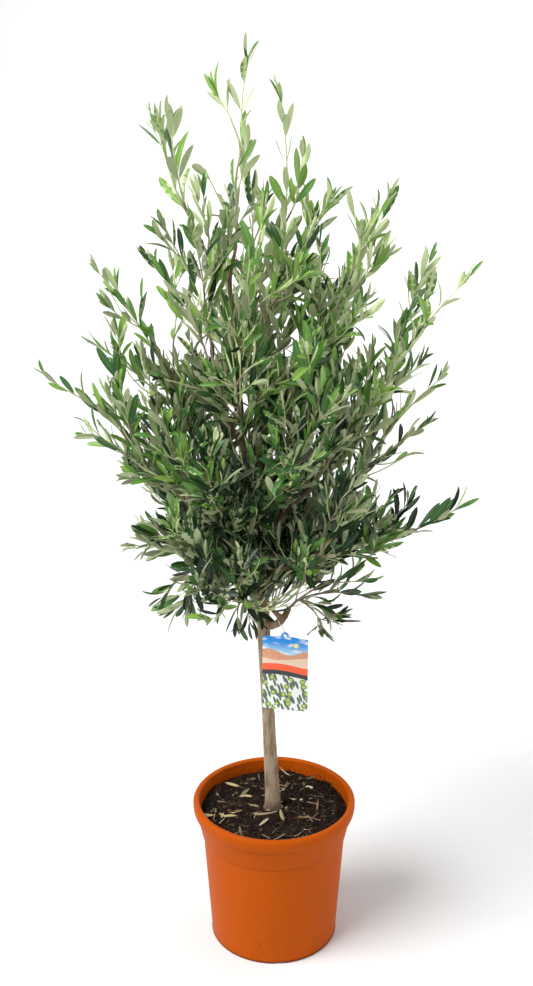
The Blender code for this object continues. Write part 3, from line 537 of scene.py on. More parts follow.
snap_x, snap_y = scatter(litter, SNAPPED, SOIL_RADIUS - 0.020)
snap_turn, snap_half = litter.uniform(0, math.tau, SNAPPED), litter.uniform(0.004, 0.016, SNAPPED)
snap_x[0], snap_y[0], snap_turn[0], snap_half[0] = -0.017, -0.0235, 0.2, 0.023  # against the stem
step = np.linspace(-1, 1, 6)
snap_line = np.stack((
    snap_x[:, None] + snap_half[:, None] * step * np.cos(snap_turn)[:, None],
    snap_y[:, None] + snap_half[:, None] * step * np.sin(snap_turn)[:, None]
    + 0.12 * snap_half[:, None] * litter.normal(size=(SNAPPED, 1)) * (1 - step ** 2)), -1)
level = soil_height(snap_line[:, :, 0], snap_line[:, :, 1]).max(axis=1, keepdims=True) * np.ones(6)
snap_line = np.concatenate((snap_line, level[..., None]), axis=-1)
snap_thick = litter.uniform(0.0005, 0.0012, (SNAPPED, 1)) * (1 - 0.25 * step)
snap_thick[0] = 0.0021, 0.0026, 0.0024, 0.0020, 0.0016, 0.0010
snap_finishes = [Finish("snapped twig", (0.34, 0.25, 0.15), 0.8),
                 Finish("old twig", (0.15, 0.10, 0.06), 0.85)]
kind = (litter.uniform(size=SNAPPED) < 0.4).astype(int)
kind[0] = 0
snapped = add_piece("snapped_twigs", tube_points(snap_line, snap_thick, 7), tube_faces(SNAPPED, 6, 7),
                    snap_finishes, np.concatenate((np.repeat(kind, 35), np.repeat(kind, 2))), sharp=50)

# ---- Trunk ----
# The stem of a young olive: smooth grey-tan bark with fine upright ridges and a few scars of
# pruned shoots. It flares into the compost and thins into the leader inside the crown.
TRUNK_LINE = np.array((
    (-0.0015, 0.000, 0.2490, 0.0176), (-0.0015, 0.000, 0.2583, 0.0160), (-0.002, 0.000, 0.270, 0.0146),
    (-0.003, 0.000, 0.292, 0.0138), (-0.006, 0.000, 0.360, 0.0125), (-0.011, 0.000, 0.463, 0.0114),
    (-0.016, 0.000, 0.560, 0.0111), (-0.019, 0.000, 0.635, 0.0113), (-0.020, 0.003, 0.700, 0.0098),
    (-0.030, 0.002, 0.790, 0.0076), (-0.052, 0.000, 0.900, 0.0058), (-0.055, 0.002, 0.995, 0.0052),
    (-0.062, 0.000, 1.081, 0.0047), (-0.067, -0.002, 1.171, 0.0041), (-0.073, 0.000, 1.244, 0.0034),
    (-0.063, 0.000, 1.292, 0.0026),
))
TRUNK_SIDES, TRUNK_RINGS = 60, 420
STEM_RADIUS = 0.012             # at the scars
SCAR_LIP, SCAR_EYE = 0.0050, 0.0020
SCARS = ((0.318, 0.9), (0.392, -1.9), (0.447, 0.4), (0.503, -0.9), (0.548, -2.4), (0.585, 0.2),
         (0.613, -1.4), (0.668, 1.1))       # height and turn of each pruned shoot's scar


def on_trunk(height):
    """The stem's middle and radius at heights, smooth through TRUNK_LINE: x, y, z, radius."""
    knots = TRUNK_LINE[:, 2]
    slopes = np.gradient(TRUNK_LINE, knots, axis=0)
    step = np.clip(np.searchsorted(knots, height) - 1, 0, len(knots) - 2)
    span = (knots[step + 1] - knots[step])[..., None]
    t = np.clip((height - knots[step])[..., None] / span, 0, 1)
    low, high = TRUNK_LINE[step], TRUNK_LINE[step + 1]
    return ((1 + 2 * t) * (1 - t) ** 2 * low + t * (1 - t) ** 2 * span * slopes[step]
            + t ** 2 * (3 - 2 * t) * high - t ** 2 * (1 - t) * span * slopes[step + 1])


def make_trunk(finishes):
    """A ring of radius r(a, z) at each height: the taper, flutes, ridges, round scars and a fluted foot."""
    height = np.linspace(TRUNK_LINE[0, 2], TRUNK_LINE[-1, 2], TRUNK_RINGS)
    turn = np.arange(TRUNK_SIDES) * math.tau / TRUNK_SIDES
    middle = on_trunk(height)
    across, ahead, up = np.cos(turn)[None], np.sin(turn)[None], height[:, None]
    relief = (1 + 0.040 * ripple(41, 8, 1.6 * across, 1.6 * ahead, 16 * up)
              + 0.016 * ripple(42, 26, 9 * across, 9 * ahead, 36 * up)
              + 0.012 * ripple(43, 40, 20 * across, 20 * ahead, 230 * up))
    for level, place in SCARS:
        off = ((turn - place + math.pi) % math.tau - math.pi) * STEM_RADIUS
        ring = np.hypot(off[None], (up - level) * 0.8)
        relief += 0.13 * np.exp(-(ring / SCAR_LIP) ** 2) - 0.10 * np.exp(-(ring / SCAR_EYE) ** 2)
    foot = np.clip((0.285 - up) / 0.030, 0, 1) ** 2
    relief += foot * 0.13 * ripple(44, 5, 2.2 * across, 2.2 * ahead)
    radius = middle[:, 3:] * relief
    points = np.stack((middle[:, :1] + radius * across, middle[:, 1:2] + radius * ahead,
                       up + 0 * radius), -1).reshape(-1, 3)
    ends = np.vstack((middle[0, :3], middle[-1, :3] + (0, 0, 0.001)))
    faces = [grid_faces(TRUNK_RINGS, TRUNK_SIDES), fan_faces(len(points), 0, TRUNK_SIDES, True),
             fan_faces(len(points) + 1, len(points) - TRUNK_SIDES, TRUNK_SIDES, False)]
    return add_piece("trunk_bark", np.vstack((points, ends)), faces, finishes)


def make_bark(name, pale, brown, from_height, to_height):
    """Bark that turns from one colour to another with height, streaked upwards, blotched and stained.

    It is dark and damp where it stands in the compost.
    """
    damp = (0.055, 0.034, 0.020)
    bark = Finish(name, roughness=0.85).set(Specular_IOR_Level=0.25)
    streak = bark.noise(0.0045, stretch=(1, 1, 0.13), detail=5)
    blotch = bark.noise(0.030, stretch=(1, 1, 0.5), detail=3)
    stain = bark.ease(bark.noise(0.016, stretch=(1, 1, 0.4), detail=4), 0.52, 0.66)
    speck = bark.ease(bark.noise(0.0022, detail=3), 0.58, 0.68)
    height = bark.along("Z")
    tone = bark.mix(bark.ease(height, from_height, to_height), pale, brown)
    tone = bark.mix(bark.ease(streak, 0.38, 0.68) * 0.60, tone, (0.105, 0.068, 0.040))
    tone = bark.mix(bark.ease(blotch, 0.50, 0.64) * 0.50, tone, (0.38, 0.34, 0.25))
    tone = bark.mix(stain * 0.45, tone, (0.090, 0.058, 0.034))
    tone = bark.mix(speck * 0.50, tone, damp)
    foot = 1 - bark.ease(height + blotch * 0.03, 0.275, 0.300)
    tone = bark.mix(foot * 0.6, tone, damp)
    bark.set(Base_Color=tone, Roughness=streak * 0.15 + 0.74)
    return bark.bump(streak * 0.7 + bark.noise(0.0016, detail=4) * 0.3, 0.0011)


bark = make_bark("olive bark", (0.330, 0.240, 0.150), (0.190, 0.140, 0.095), 0.60, 0.80)
trunk = make_trunk([bark])
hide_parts("trunk")

# ---- Boughs ----
# The limbs of the crown, brown and knobbly where they leave the stem. The right one turns up
# in an elbow, a thin limb crosses the stem from there, and short curly twigs fill the fork.
#
# The limbs at the elbow: radii at the two ends, centre line.
ELBOW_LIMBS = {
    "bough_elbow": (0.0078, 0.0048, (
        (-0.019, -0.002, 0.628), (0.000, -0.020, 0.637), (0.015, -0.024, 0.651), (0.025, -0.023, 0.670))),
    "bough_cross": (0.0042, 0.0024, (
        (0.013, -0.024, 0.650), (-0.001, -0.034, 0.668), (-0.014, -0.037, 0.682), (-0.034, -0.036, 0.697))),
}
# The boughs that rise off the stem: height of the root, tip, arch, radii at the two ends.
BOUGHS = {
    "bough_left_low": (0.656, (-0.088, -0.020, 0.738), 0.11, 0.0066, 0.0036),
    "bough_left_wide": (0.700, (-0.112, -0.010, 0.812), 0.04, 0.0062, 0.0034),
    "bough_left_high": (0.740, (-0.112, 0.022, 0.862), 0.05, 0.0056, 0.0034),
    "bough_left_top": (0.945, (-0.095, -0.006, 1.030), 0.03, 0.0036, 0.0029),
    "bough_right_wide": (0.692, (0.078, 0.000, 0.748), 0.06, 0.0058, 0.0034),
    "bough_right_mid": (0.726, (0.070, 0.018, 0.800), 0.03, 0.0056, 0.0034),
    "bough_right_high": (0.778, (0.062, -0.012, 0.888), 0.03, 0.0052, 0.0034),
    "bough_right_top": (0.905, (0.024, 0.000, 1.035), 0.03, 0.0040, 0.0031),
    "bough_centre_top": (0.968, (-0.038, 0.006, 1.090), -0.04, 0.0036, 0.0029),
    "bough_front_low_1": (0.644, (-0.062, -0.076, 0.705), 0.08, 0.0056, 0.0032),
    "bough_front_low_2": (0.714, (0.040, -0.080, 0.765), 0.08, 0.0054, 0.0032),
    "bough_front_mid_1": (0.796, (-0.075, -0.072, 0.868), 0.05, 0.0050, 0.0031),
    "bough_front_mid_2": (0.845, (0.015, -0.078, 0.925), 0.05, 0.0048, 0.0031),
    "bough_back_low_1": (0.634, (-0.078, 0.078, 0.705), 0.08, 0.0056, 0.0032),
    "bough_back_low_2": (0.672, (0.042, 0.080, 0.738), 0.08, 0.0054, 0.0032),
    "bough_back_mid_1": (0.766, (-0.080, 0.080, 0.850), 0.05, 0.0050, 0.0031),
    "bough_back_mid_2": (0.818, (0.022, 0.086, 0.898), 0.05, 0.0048, 0.0031),
}
LIMB_RINGS, LIMB_SIDES = 72, 18
COLLAR_REACH = 0.014            # a limb swells within this of the stem
CURLS, CURL_POINTS, CURL_SIDES = 16, 26, 8


def arched(start, end, arch, swing=0.0, count=13):
    """Points on a parabola whose middle stands arch x length off its chord.

    It bows to the side that faces up, swung round the chord by an angle.
    """
    start, end = np.asarray(start, float), np.asarray(end, float)
    length = np.linalg.norm(end - start)
    along = (end - start) / length
    rise = unit(np.array((0.0, 0.0, 1.0)) - along * along[2] + 1e-6)
    bow = 4 * arch * length * (math.cos(swing) * rise + math.sin(swing) * np.cross(along, rise))
    t = np.linspace(0.0, 1.0, count)[:, None]
    return start + (end - start) * t + bow * t * (1 - t)


def smooth_line(points, count):
    """Catmull-Rom points through a short list of points."""
    points = np.asarray(points, float)
    padded = np.vstack((2 * points[0] - points[1], points, 2 * points[-1] - points[-2]))
    place = np.linspace(0, len(points) - 1, count)
    step = np.minimum(place.astype(int), len(points) - 2)
    t = (place - step)[:, None]
    a, b, c, d = (padded[step + corner] for corner in range(4))
    return b + 0.5 * ((c - a) * t + (2 * a - 5 * b + 4 * c - d) * t ** 2 + (3 * b - a - 3 * c + d) * t ** 3)


limbs = {name: (smooth_line(points, LIMB_RINGS), thick, thin)
         for name, (thick, thin, points) in ELBOW_LIMBS.items()}
limbs |= {name: (arched(on_trunk(np.array(root))[:3], tip, arch, count=LIMB_RINGS), thick, thin)
          for name, (root, tip, arch, thick, thin) in BOUGHS.items()}


def make_boughs(finishes):
    """Tubes along the limbs: the taper, a collar that dies away from the stem, knobs and ridges."""
    lines = np.array([line for line, thick, thin in limbs.values()])
    ends = np.array([(thick, thin) for line, thick, thin in limbs.values()])
    t = np.linspace(0, 1, LIMB_RINGS)
    radii = ends[:, :1] + (ends[:, 1:] - ends[:, :1]) * t
    run = np.linalg.norm(lines - lines[:, :1], axis=2)
    radii *= 1 + 0.25 * np.exp(-((run / COLLAR_REACH) ** 2))
    points = tube_points(lines, radii, LIMB_SIDES).reshape(len(lines), LIMB_RINGS, LIMB_SIDES, 3)
    away = points - lines[:, :, None]
    x, y, z = points[..., 0], points[..., 1], points[..., 2]
    relief = (1 + 0.10 * ripple(51, 10, 110 * x, 110 * y, 110 * z)
              + 0.05 * ripple(52, 20, 420 * x, 420 * y, 300 * z)
              + 0.03 * ripple(53, 20, 1100 * x, 1100 * y, 700 * z))
    points = lines[:, :, None] + away * relief[..., None]
    return add_piece("boughs", points.reshape(-1, 3), tube_faces(len(lines), LIMB_RINGS, LIMB_SIDES),
                     finishes, sharp=70)


bough_bark = make_bark("bough bark", (0.230, 0.145, 0.082), (0.150, 0.108, 0.070), 0.64, 0.90)
boughs = make_boughs([bough_bark])
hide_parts(*limbs)


def make_curls(finishes):
    """Thin twigs from the fork: each line heads out and up from the stem and winds as a spiral."""
    random = np.random.default_rng(57)
    root = on_trunk(random.uniform(0.640, 0.735, CURLS))[:, :3]
    turn, t = random.uniform(0, math.tau, CURLS), np.linspace(0, 1, CURL_POINTS)[None]
    reach, rise = random.uniform(0.030, 0.075, (CURLS, 1)), random.uniform(0.015, 0.070, (CURLS, 1))
    wind = random.uniform(4, 9, (CURLS, 1)) * t + random.uniform(0, math.tau, (CURLS, 1))
    sway = random.uniform(0.004, 0.010, (CURLS, 1)) * t ** 0.5
    out = reach * t + sway * np.cos(wind)
    side = sway * np.sin(wind)
    lines = root[:, None] + np.stack((out * np.cos(turn)[:, None] - side * np.sin(turn)[:, None],
                                      out * np.sin(turn)[:, None] + side * np.cos(turn)[:, None],
                                      rise * t ** 1.3 + sway * np.sin(wind + 1)), -1)
    radii = random.uniform(0.0013, 0.0024, (CURLS, 1)) * (1 - 0.45 * t)
    return add_piece("fork_twigs", tube_points(lines, radii, CURL_SIDES),
                     tube_faces(CURLS, CURL_POINTS, CURL_SIDES), finishes)


make_curls([bough_bark])

# ---- Twigs ----
# The shoots of the crown. Each mass has a stem that grows on from its limb, side shoots to
# the crown's tips, shoots that fill the gaps, and laterals in opposite pairs along them all.
#
# Each mass: the limb that its stem meets, the height on the stem (None at a limb's tip), the
# arch of its shoots, how many more shoots fill it out, and the tips of the crown's outline.
MASSES = {
    "foliage_top": ("trunk", None, 0.03, 0, (
        (-0.041, 0.000, 1.610), (-0.105, 0.020, 1.558), (-0.085, 0.110, 1.380))),
    "foliage_top_left": ("trunk", 1.235, -0.05, 1, (
        (-0.201, 0.050, 1.509), (-0.168, -0.030, 1.515), (-0.114, -0.090, 1.410))),
    "foliage_top_right": ("bough_centre_top", None, -0.05, 1, (
        (0.015, 0.040, 1.553), (0.050, -0.060, 1.466), (0.107, 0.080, 1.370), (0.076, -0.060, 1.375))),
    "foliage_upper_left": ("bough_left_top", None, 0.07, 2, (
        (-0.182, -0.060, 1.362), (-0.225, 0.060, 1.295))),
    "foliage_left_high": ("bough_left_high", None, 0.08, 3, (
        (-0.314, 0.090, 1.273), (-0.303, -0.080, 1.173))),
    "foliage_left_wide": ("bough_left_wide", None, 0.05, 3, (
        (-0.403, -0.050, 1.122), (-0.357, 0.070, 0.975), (-0.271, -0.050, 0.918))),
    "foliage_left_low": ("bough_left_low", None, 0.12, 2, (
        (-0.281, 0.040, 0.768), (-0.225, -0.080, 0.691), (-0.168, 0.040, 0.619))),
    "foliage_cross": ("bough_cross", None, 0.25, 1, (
        (-0.080, -0.088, 0.635), (-0.035, -0.130, 0.659))),
    "foliage_right_low": ("bough_elbow", None, 0.10, 1, (
        (0.200, -0.030, 0.698), (0.126, -0.040, 0.650), (0.107, -0.045, 0.619))),
    "foliage_right_wide": ("bough_right_wide", None, -0.06, 3, (
        (0.343, -0.040, 0.875), (0.228, 0.090, 0.860))),
    "foliage_right_mid": ("bough_right_mid", None, 0.03, 3, (
        (0.305, 0.070, 1.087), (0.268, -0.070, 1.035))),
    "foliage_right_high": ("bough_right_high", None, 0.02, 3, (
        (0.325, -0.070, 1.287), (0.271, 0.080, 1.291))),
    "foliage_upper_right": ("bough_right_top", None, 0.03, 2, (
        (0.191, -0.050, 1.410), (0.200, 0.085, 1.303))),
    "foliage_front_high": ("trunk", 1.060, 0.04, 2, (
        (-0.035, -0.200, 1.330), (0.060, -0.180, 1.290))),
    "foliage_front_upper": ("trunk", 0.985, 0.06, 2, (
        (-0.080, -0.255, 1.150), (0.005, -0.245, 1.180))),
    "foliage_back_high": ("trunk", 1.120, 0.04, 2, (
        (-0.010, 0.220, 1.375), (-0.100, 0.190, 1.350))),
    "foliage_back_upper": ("trunk", 1.010, 0.06, 2, (
        (-0.080, 0.275, 1.200), (0.020, 0.250, 1.160))),
    "foliage_front_low_1": ("bough_front_low_1", None, 0.10, 2, (
        (-0.150, -0.235, 0.790), (-0.099, -0.190, 0.718))),
    "foliage_front_low_2": ("bough_front_low_2", None, 0.10, 2, (
        (0.145, -0.210, 0.850), (0.050, -0.230, 0.765))),
    "foliage_front_mid_1": ("bough_front_mid_1", None, 0.07, 2, (
        (-0.190, -0.225, 1.030), (-0.105, -0.285, 0.950))),
    "foliage_front_mid_2": ("bough_front_mid_2", None, 0.07, 3, (
        (0.115, -0.225, 1.120), (0.020, -0.290, 0.990))),
    "foliage_back_low_1": ("bough_back_low_1", None, 0.10, 2, (
        (-0.210, 0.200, 0.810), (-0.100, 0.255, 0.760))),
    "foliage_back_low_2": ("bough_back_low_2", None, 0.10, 2, (
        (0.170, 0.200, 0.820), (0.060, 0.255, 0.720))),
    "foliage_back_mid_1": ("bough_back_mid_1", None, 0.07, 2, (
        (-0.200, 0.260, 1.080), (-0.100, 0.320, 0.990))),
    "foliage_back_mid_2": ("bough_back_mid_2", None, 0.07, 2, (
        (0.140, 0.250, 1.130), (0.050, 0.335, 1.000))),
}
POINTS = 13                     # to a shoot's line
TWIG_SIDES = 5
STEM_THICK, SIDE_THICK, FILL_THICK, TIP_THICK = 0.0026, 0.0021, 0.0019, 0.00095
TUFT = 0.042                    # the leaves at a shoot's tip reach this far past it
SHOOT_LEAD = 0.010              # straight start of a stem, square to what it meets
FORK_ANGLE = math.radians(34)
FORK_PLACES = np.linspace(0.12, 0.80, 18)
# The filling shoots stay in an egg round the leader. Each is tried at these places on its
# stem, in this many directions, at these lengths.
CROWN_AXIS_X = -0.028
CROWN_MIDDLE = 1.000
CROWN_HALF_HEIGHT = 0.560
CROWN_RADIUS = 0.265
CROWN_FOOT = 0.650
FILL_PLACES = (0.12, 0.30, 0.48, 0.66)
FILL_TURNS = np.arange(12) * math.tau / 12
FILL_LENGTHS = (0.240, 0.190, 0.150)
FILL_SPREAD = math.radians(34)
FILL_PROBES = np.array((0.45, 0.70, 0.95))
SKEW = np.array((0.31, 0.95, 0.05))     # a direction that no limb follows
# The camera, which also says where the crown looks open: its place, its tilt from straight
# down, its lens, and a sensor as high as the picture, in millimetres.
EYE = np.array((-0.014, -2.11, 1.58))
EYE_TILT = math.radians(71.5)
LENS, SENSOR = 47.46, 36.0
PICTURE_WIDTH, PICTURE_HEIGHT = 533, 986
OVAL_STEPS = 200                # to a metre: ovals on the plane are kept to 5 mm


def on_plane(ovals):
    """Ovals in the picture carried to the crown's middle plane: x, z, half width, half height.

    The sight through a place in the picture leaves EYE and meets the plane where y is 0.
    """
    def meet(across, down):
        """x and z where the sight meets the plane."""
        pitch = SENSOR / LENS / PICTURE_HEIGHT
        aside, up = (across - PICTURE_WIDTH / 2) * pitch, (PICTURE_HEIGHT / 2 - down) * pitch
        ahead = math.sin(EYE_TILT) + up * math.cos(EYE_TILT)
        rise = up * math.sin(EYE_TILT) - math.cos(EYE_TILT)
        return EYE[0] - EYE[1] * aside / ahead, EYE[2] - EYE[1] * rise / ahead

    across, down, half_width, half_height = np.array(ovals).T
    x, z = meet(across, down)
    wide = meet(across + half_width, down)[0] - x
    high = (meet(across, down - half_height)[1] - meet(across, down + half_height)[1]) / 2
    return np.rint(np.stack((x, z, wide, high), -1) * OVAL_STEPS) / OVAL_STEPS


# Ovals in the camera's picture, in its pixels: middle across and down, half width, half height.
# WINDOWS are the open places between the shoots, THICKETS the leafy ones, and FORK is the clear
# view of where the stem forks.
WINDOWS = on_plane((
    (215, 115, 26, 30), (213, 160, 22, 22), (216, 196, 17, 15), (263, 125, 11, 50), (268, 60, 12, 30),
    (350, 150, 34, 40), (286, 158, 13, 28), (140, 282, 30, 22), (167, 262, 7, 9), (161, 334, 14, 26),
    (192, 292, 8, 14), (207, 350, 13, 18), (150, 388, 14, 12), (393, 292, 14, 46), (437, 300, 9, 20),
    (394, 422, 10, 34), (425, 395, 12, 10), (415, 475, 42, 18), (82, 408, 30, 14), (112, 232, 26, 40),
    (325, 150, 14, 30), (370, 520, 11, 12), (330, 590, 22, 13), (172, 170, 13, 18), (228, 204, 26, 13),
    (293, 152, 9, 20), (166, 352, 20, 17), (92, 428, 22, 14), (120, 442, 12, 16), (62, 386, 20, 7),
    (402, 418, 16, 26), (412, 446, 20, 10), (318, 188, 18, 10), (374, 203, 26, 9), (384, 500, 12, 12),
    (185, 288, 20, 12), (188, 322, 14, 16), (184, 385, 12, 10), (216, 346, 12, 12), (128, 366, 13, 12),
))
THICKETS = on_plane((
    (95, 280, 20, 40), (126, 326, 16, 22), (48, 354, 24, 14), (88, 368, 14, 20), (150, 500, 20, 22),
    (150, 558, 32, 10), (184, 600, 24, 22), (218, 615, 18, 14), (304, 630, 18, 10), (338, 228, 16, 38),
    (374, 262, 14, 40), (357, 335, 16, 24), (420, 300, 16, 20), (436, 340, 20, 10), (434, 418, 14, 18),
    (374, 482, 14, 12), (344, 568, 20, 9), (392, 550, 34, 12), (468, 262, 16, 24), (156, 150, 12, 18),
    (176, 222, 14, 16), (144, 390, 16, 10), (255, 60, 14, 24), (292, 100, 12, 22),
))
FORK = on_plane(((279, 602, 34, 27),))


def on_line(line, fractions):
    """The places and the directions at fractions of a line's length."""
    steps = np.diff(line, axis=0)
    lengths = np.linalg.norm(steps, axis=1)
    run = np.concatenate(([0.0], np.cumsum(lengths)))
    reach = np.asarray(fractions) * run[-1]
    place = np.stack([np.interp(reach, run, line[:, axis]) for axis in range(3)], axis=-1)
    step = np.clip(np.searchsorted(run, reach, side="right") - 1, 0, len(steps) - 1)
    return place, steps[step] / lengths[step][..., None]


def length_of(line):
    """The sum of the steps between a line's points."""
    return np.linalg.norm(np.diff(line, axis=0), axis=1).sum()


def square_to(along):
    """Two directions square to a line and to each other."""
    normal = unit(np.cross(along, SKEW))
    return normal, np.cross(along, normal)


def in_window(place, ovals=WINDOWS):
    """How far inside an oval places lie, 0 to 1, once carried to the middle plane along the sight.

    It is exp(-d^4), with d the distance from the oval's middle in half widths and half heights.
    """
    place = np.asarray(place)
    seen = EYE + (place - EYE) * (EYE[1] / (EYE[1] - place[..., 1]))[..., None]
    x, z, across, up = ovals.T
    off = ((seen[..., 0, None] - x) / across) ** 2 + ((seen[..., 2, None] - z) / up) ** 2
    return np.exp(-off ** 2).max(axis=-1)


def stem_start(limb, height, tip):
    """Where a mass's stem starts and heads: at a limb's tip, or from the leader's side."""
    if limb == "trunk" and height is None:
        return TRUNK_LINE[-1, :3], unit(TRUNK_LINE[-1, :3] - TRUNK_LINE[-2, :3])
    if height is None:
        line = limbs[limb][0]
        return line[-1], unit(line[-1] - line[-2])
    middle = on_trunk(np.array(height))[:3]
    return middle, unit((tip[0] - middle[0], tip[1] - middle[1], 0.0))


def fork_place(stem, tip):
    """The place on a stem where a shoot to this tip leaves it most nearly at the fork angle."""
    places, ways = on_line(stem, FORK_PLACES)
    to_tip = np.asarray(tip) - places
    lean = np.arccos((to_tip * ways).sum(axis=1) / np.linalg.norm(to_tip, axis=1))
    return places[np.argmin(np.abs(lean - FORK_ANGLE))]


def open_tip(stem, filled):
    """A place on a stem and a tip for a new shoot, as far as can be from every shoot so far."""
    best, found = 0.0, None
    for fraction in FILL_PLACES:
        place, along = on_line(stem, fraction)
        normal, side = square_to(along)
        for turn in FILL_TURNS:
            out = math.cos(turn) * normal + math.sin(turn) * side
            heading = math.cos(FILL_SPREAD) * along + math.sin(FILL_SPREAD) * out
            for length in FILL_LENGTHS:
                tip = place + heading * length
                rise = (tip[2] - CROWN_MIDDLE) / CROWN_HALF_HEIGHT
                if (math.hypot(tip[0] - CROWN_AXIS_X, tip[1])
                        > CROWN_RADIUS * math.sqrt(max(0.0, 1 - rise ** 2)) or tip[2] < CROWN_FOOT):
                    continue
                probes = place + np.outer(FILL_PROBES * length, heading)
                if in_window(probes[-1]) > 0.2:
                    continue
                room = np.linalg.norm(filled[None] - probes[:, None], axis=2).min(axis=1).mean()
                if room > best:
                    best, found = room, (place, tip)
    return found


def grow_shoots():
    """A stem for every mass, side shoots to the outline's tips, then shoots that fill the gaps."""
    shoots, stems = [], {}

    def shoot(name, start, tip, thick, lead=None):
        """One arched line to just short of the tip, swaying as a damped sine about its arch."""
        random = np.random.default_rng((61, len(shoots)))
        begin = start if lead is None else start + lead * SHOOT_LEAD
        end = np.asarray(tip) - unit(np.asarray(tip) - begin) * TUFT
        line = arched(begin, end, MASSES[name][2] + 0.012 * random.normal(), 0.3 * random.normal(), POINTS)
        line[0] = start
        t = np.linspace(0, 1, POINTS)[:, None]
        sway = 0.010 * length_of(line) * np.sin(math.pi * t) * random.normal(size=3)
        line = line + sway * np.cos(t * random.uniform(6, 11))
        shoots.append((name, line, thick))
        return line

    for name, (limb, height, arch, fill, tips) in MASSES.items():
        start, heading = stem_start(limb, height, tips[0])
        stems[name] = shoot(name, start, tips[0], STEM_THICK, heading)
    for name, (limb, height, arch, fill, tips) in MASSES.items():
        for tip in tips[1:]:
            shoot(name, fork_place(stems[name], tip), tip, SIDE_THICK)
    for step in range(max(row[3] for row in MASSES.values())):
        for name, (limb, height, arch, fill, tips) in MASSES.items():
            if step < fill:
                filled = np.vstack([on_line(line, np.linspace(0, 1, 8))[0] for owner, line, thick in shoots])
                found = open_tip(stems[name], filled)
                if found:
                    shoot(name, *found, FILL_THICK)
    return shoots


LATERAL_SPACING = 0.024
LATERAL_CHANCE, THICKET_CHANCE = 0.52, 0.80
LATERAL_LONGEST = 0.115
TOP_FROM, TOP_DEPTH = 1.06, 0.32            # the crown opens over this stretch of height,
RIM_FROM, RIM_DEPTH = 0.38, 0.55            # over this share of its radius,
FOOT_TO, FOOT_DEPTH = 0.80, 0.15            # and below this height
INNER_SHOOTS = 120              # short leafy shoots on the boughs, which close the crown's heart


def fullness(place):
    """How leafy the crown is at places, 0 to 1: full inside, open at the top, the rim and the foot."""
    place = np.asarray(place)
    rise = (place[..., 2] - CROWN_MIDDLE) / CROWN_HALF_HEIGHT
    round_it = CROWN_RADIUS * np.sqrt(np.maximum(0.05, 1 - rise ** 2))
    outward = np.hypot(place[..., 0] - CROWN_AXIS_X, place[..., 1]) / round_it
    top = np.clip((place[..., 2] - TOP_FROM) / TOP_DEPTH, 0, 1)
    rim = np.clip((outward - RIM_FROM) / RIM_DEPTH, 0, 1)
    low = np.clip((FOOT_TO - place[..., 2]) / FOOT_DEPTH, 0, 1)
    return (1 - 0.88 * top * top * (3 - 2 * top)) * (1 - 0.50 * rim) * (1 - 0.25 * low)


def twig_line(place, first, reach, random):
    """A short twig that leaves in one direction and turns up: a quadratic curve of three points."""
    second = unit(first + (0, 0, 0.80) + 0.16 * random.normal(size=3))
    t = np.linspace(0, 1, POINTS)[:, None]
    bend = place + first * reach * 0.5
    return (1 - t) ** 2 * place + 2 * t * (1 - t) * bend + t ** 2 * (bend + second * reach * 0.5)


def grow_laterals(shoots):
    """Short side twigs in opposite pairs, each pair a quarter turn from the last.

    A lateral leaves its shoot at 24 to 42 degrees and turns up. It is longest near the shoot's
    foot. There are fewer where the crown is open, and more in the thickets.
    """
    laterals = []
    for index, (name, line, thick) in enumerate(shoots):
        random = np.random.default_rng((67, index))
        length = length_of(line)
        count = max(2, int(length * 0.80 / LATERAL_SPACING))
        fractions = np.linspace(0.10, 0.84, count) + random.uniform(-0.01, 0.01, count)
        places, ways = on_line(line, fractions)
        middles = places + 0.03 * ways
        chance = np.maximum(LATERAL_CHANCE * fullness(places) * (1 - in_window(middles)),
                            THICKET_CHANCE * in_window(middles, THICKETS))
        turn = random.uniform(0, math.tau)
        for fraction, place, way, likely in zip(fractions, places, ways, chance):
            turn += math.pi / 2 + random.uniform(-0.3, 0.3)
            normal, side = square_to(way)
            for half in (0, math.pi):
                keep = random.uniform() < likely
                reach = (0.28 * (1 - fraction) * length + 0.028) * random.uniform(0.6, 1.3)
                reach = min(LATERAL_LONGEST, reach)
                lean = math.radians(random.uniform(24, 42))
                out = math.cos(turn + half) * normal + math.sin(turn + half) * side
                twig = twig_line(place, math.cos(lean) * way + math.sin(lean) * out, reach, random)
                if keep:
                    laterals.append((name, twig, 0.0011 + 0.004 * reach))
    return laterals


def grow_inner():
    """Short shoots from anywhere along the boughs, out and up, for the dense heart of the crown."""
    random = np.random.default_rng(69)
    names = [name for name in limbs if name != "bough_elbow"]
    inner = []
    for step in range(INNER_SHOOTS):
        line = limbs[names[step % len(names)]][0]
        place, way = on_line(line, random.uniform(0.25, 1.0))
        away = unit(random.normal(size=3) * (1, 1, 0.4) + 0.5 * way + (0, 0, 0.35))
        inner.append(("heart", twig_line(place, away, random.uniform(0.06, 0.16), random), 0.0016))
    return inner


shoots = grow_shoots()
outline_shoots = sum(len(row[4]) for row in MASSES.values())    # these come first in shoots
inner = grow_inner()
laterals = grow_laterals(shoots + inner)


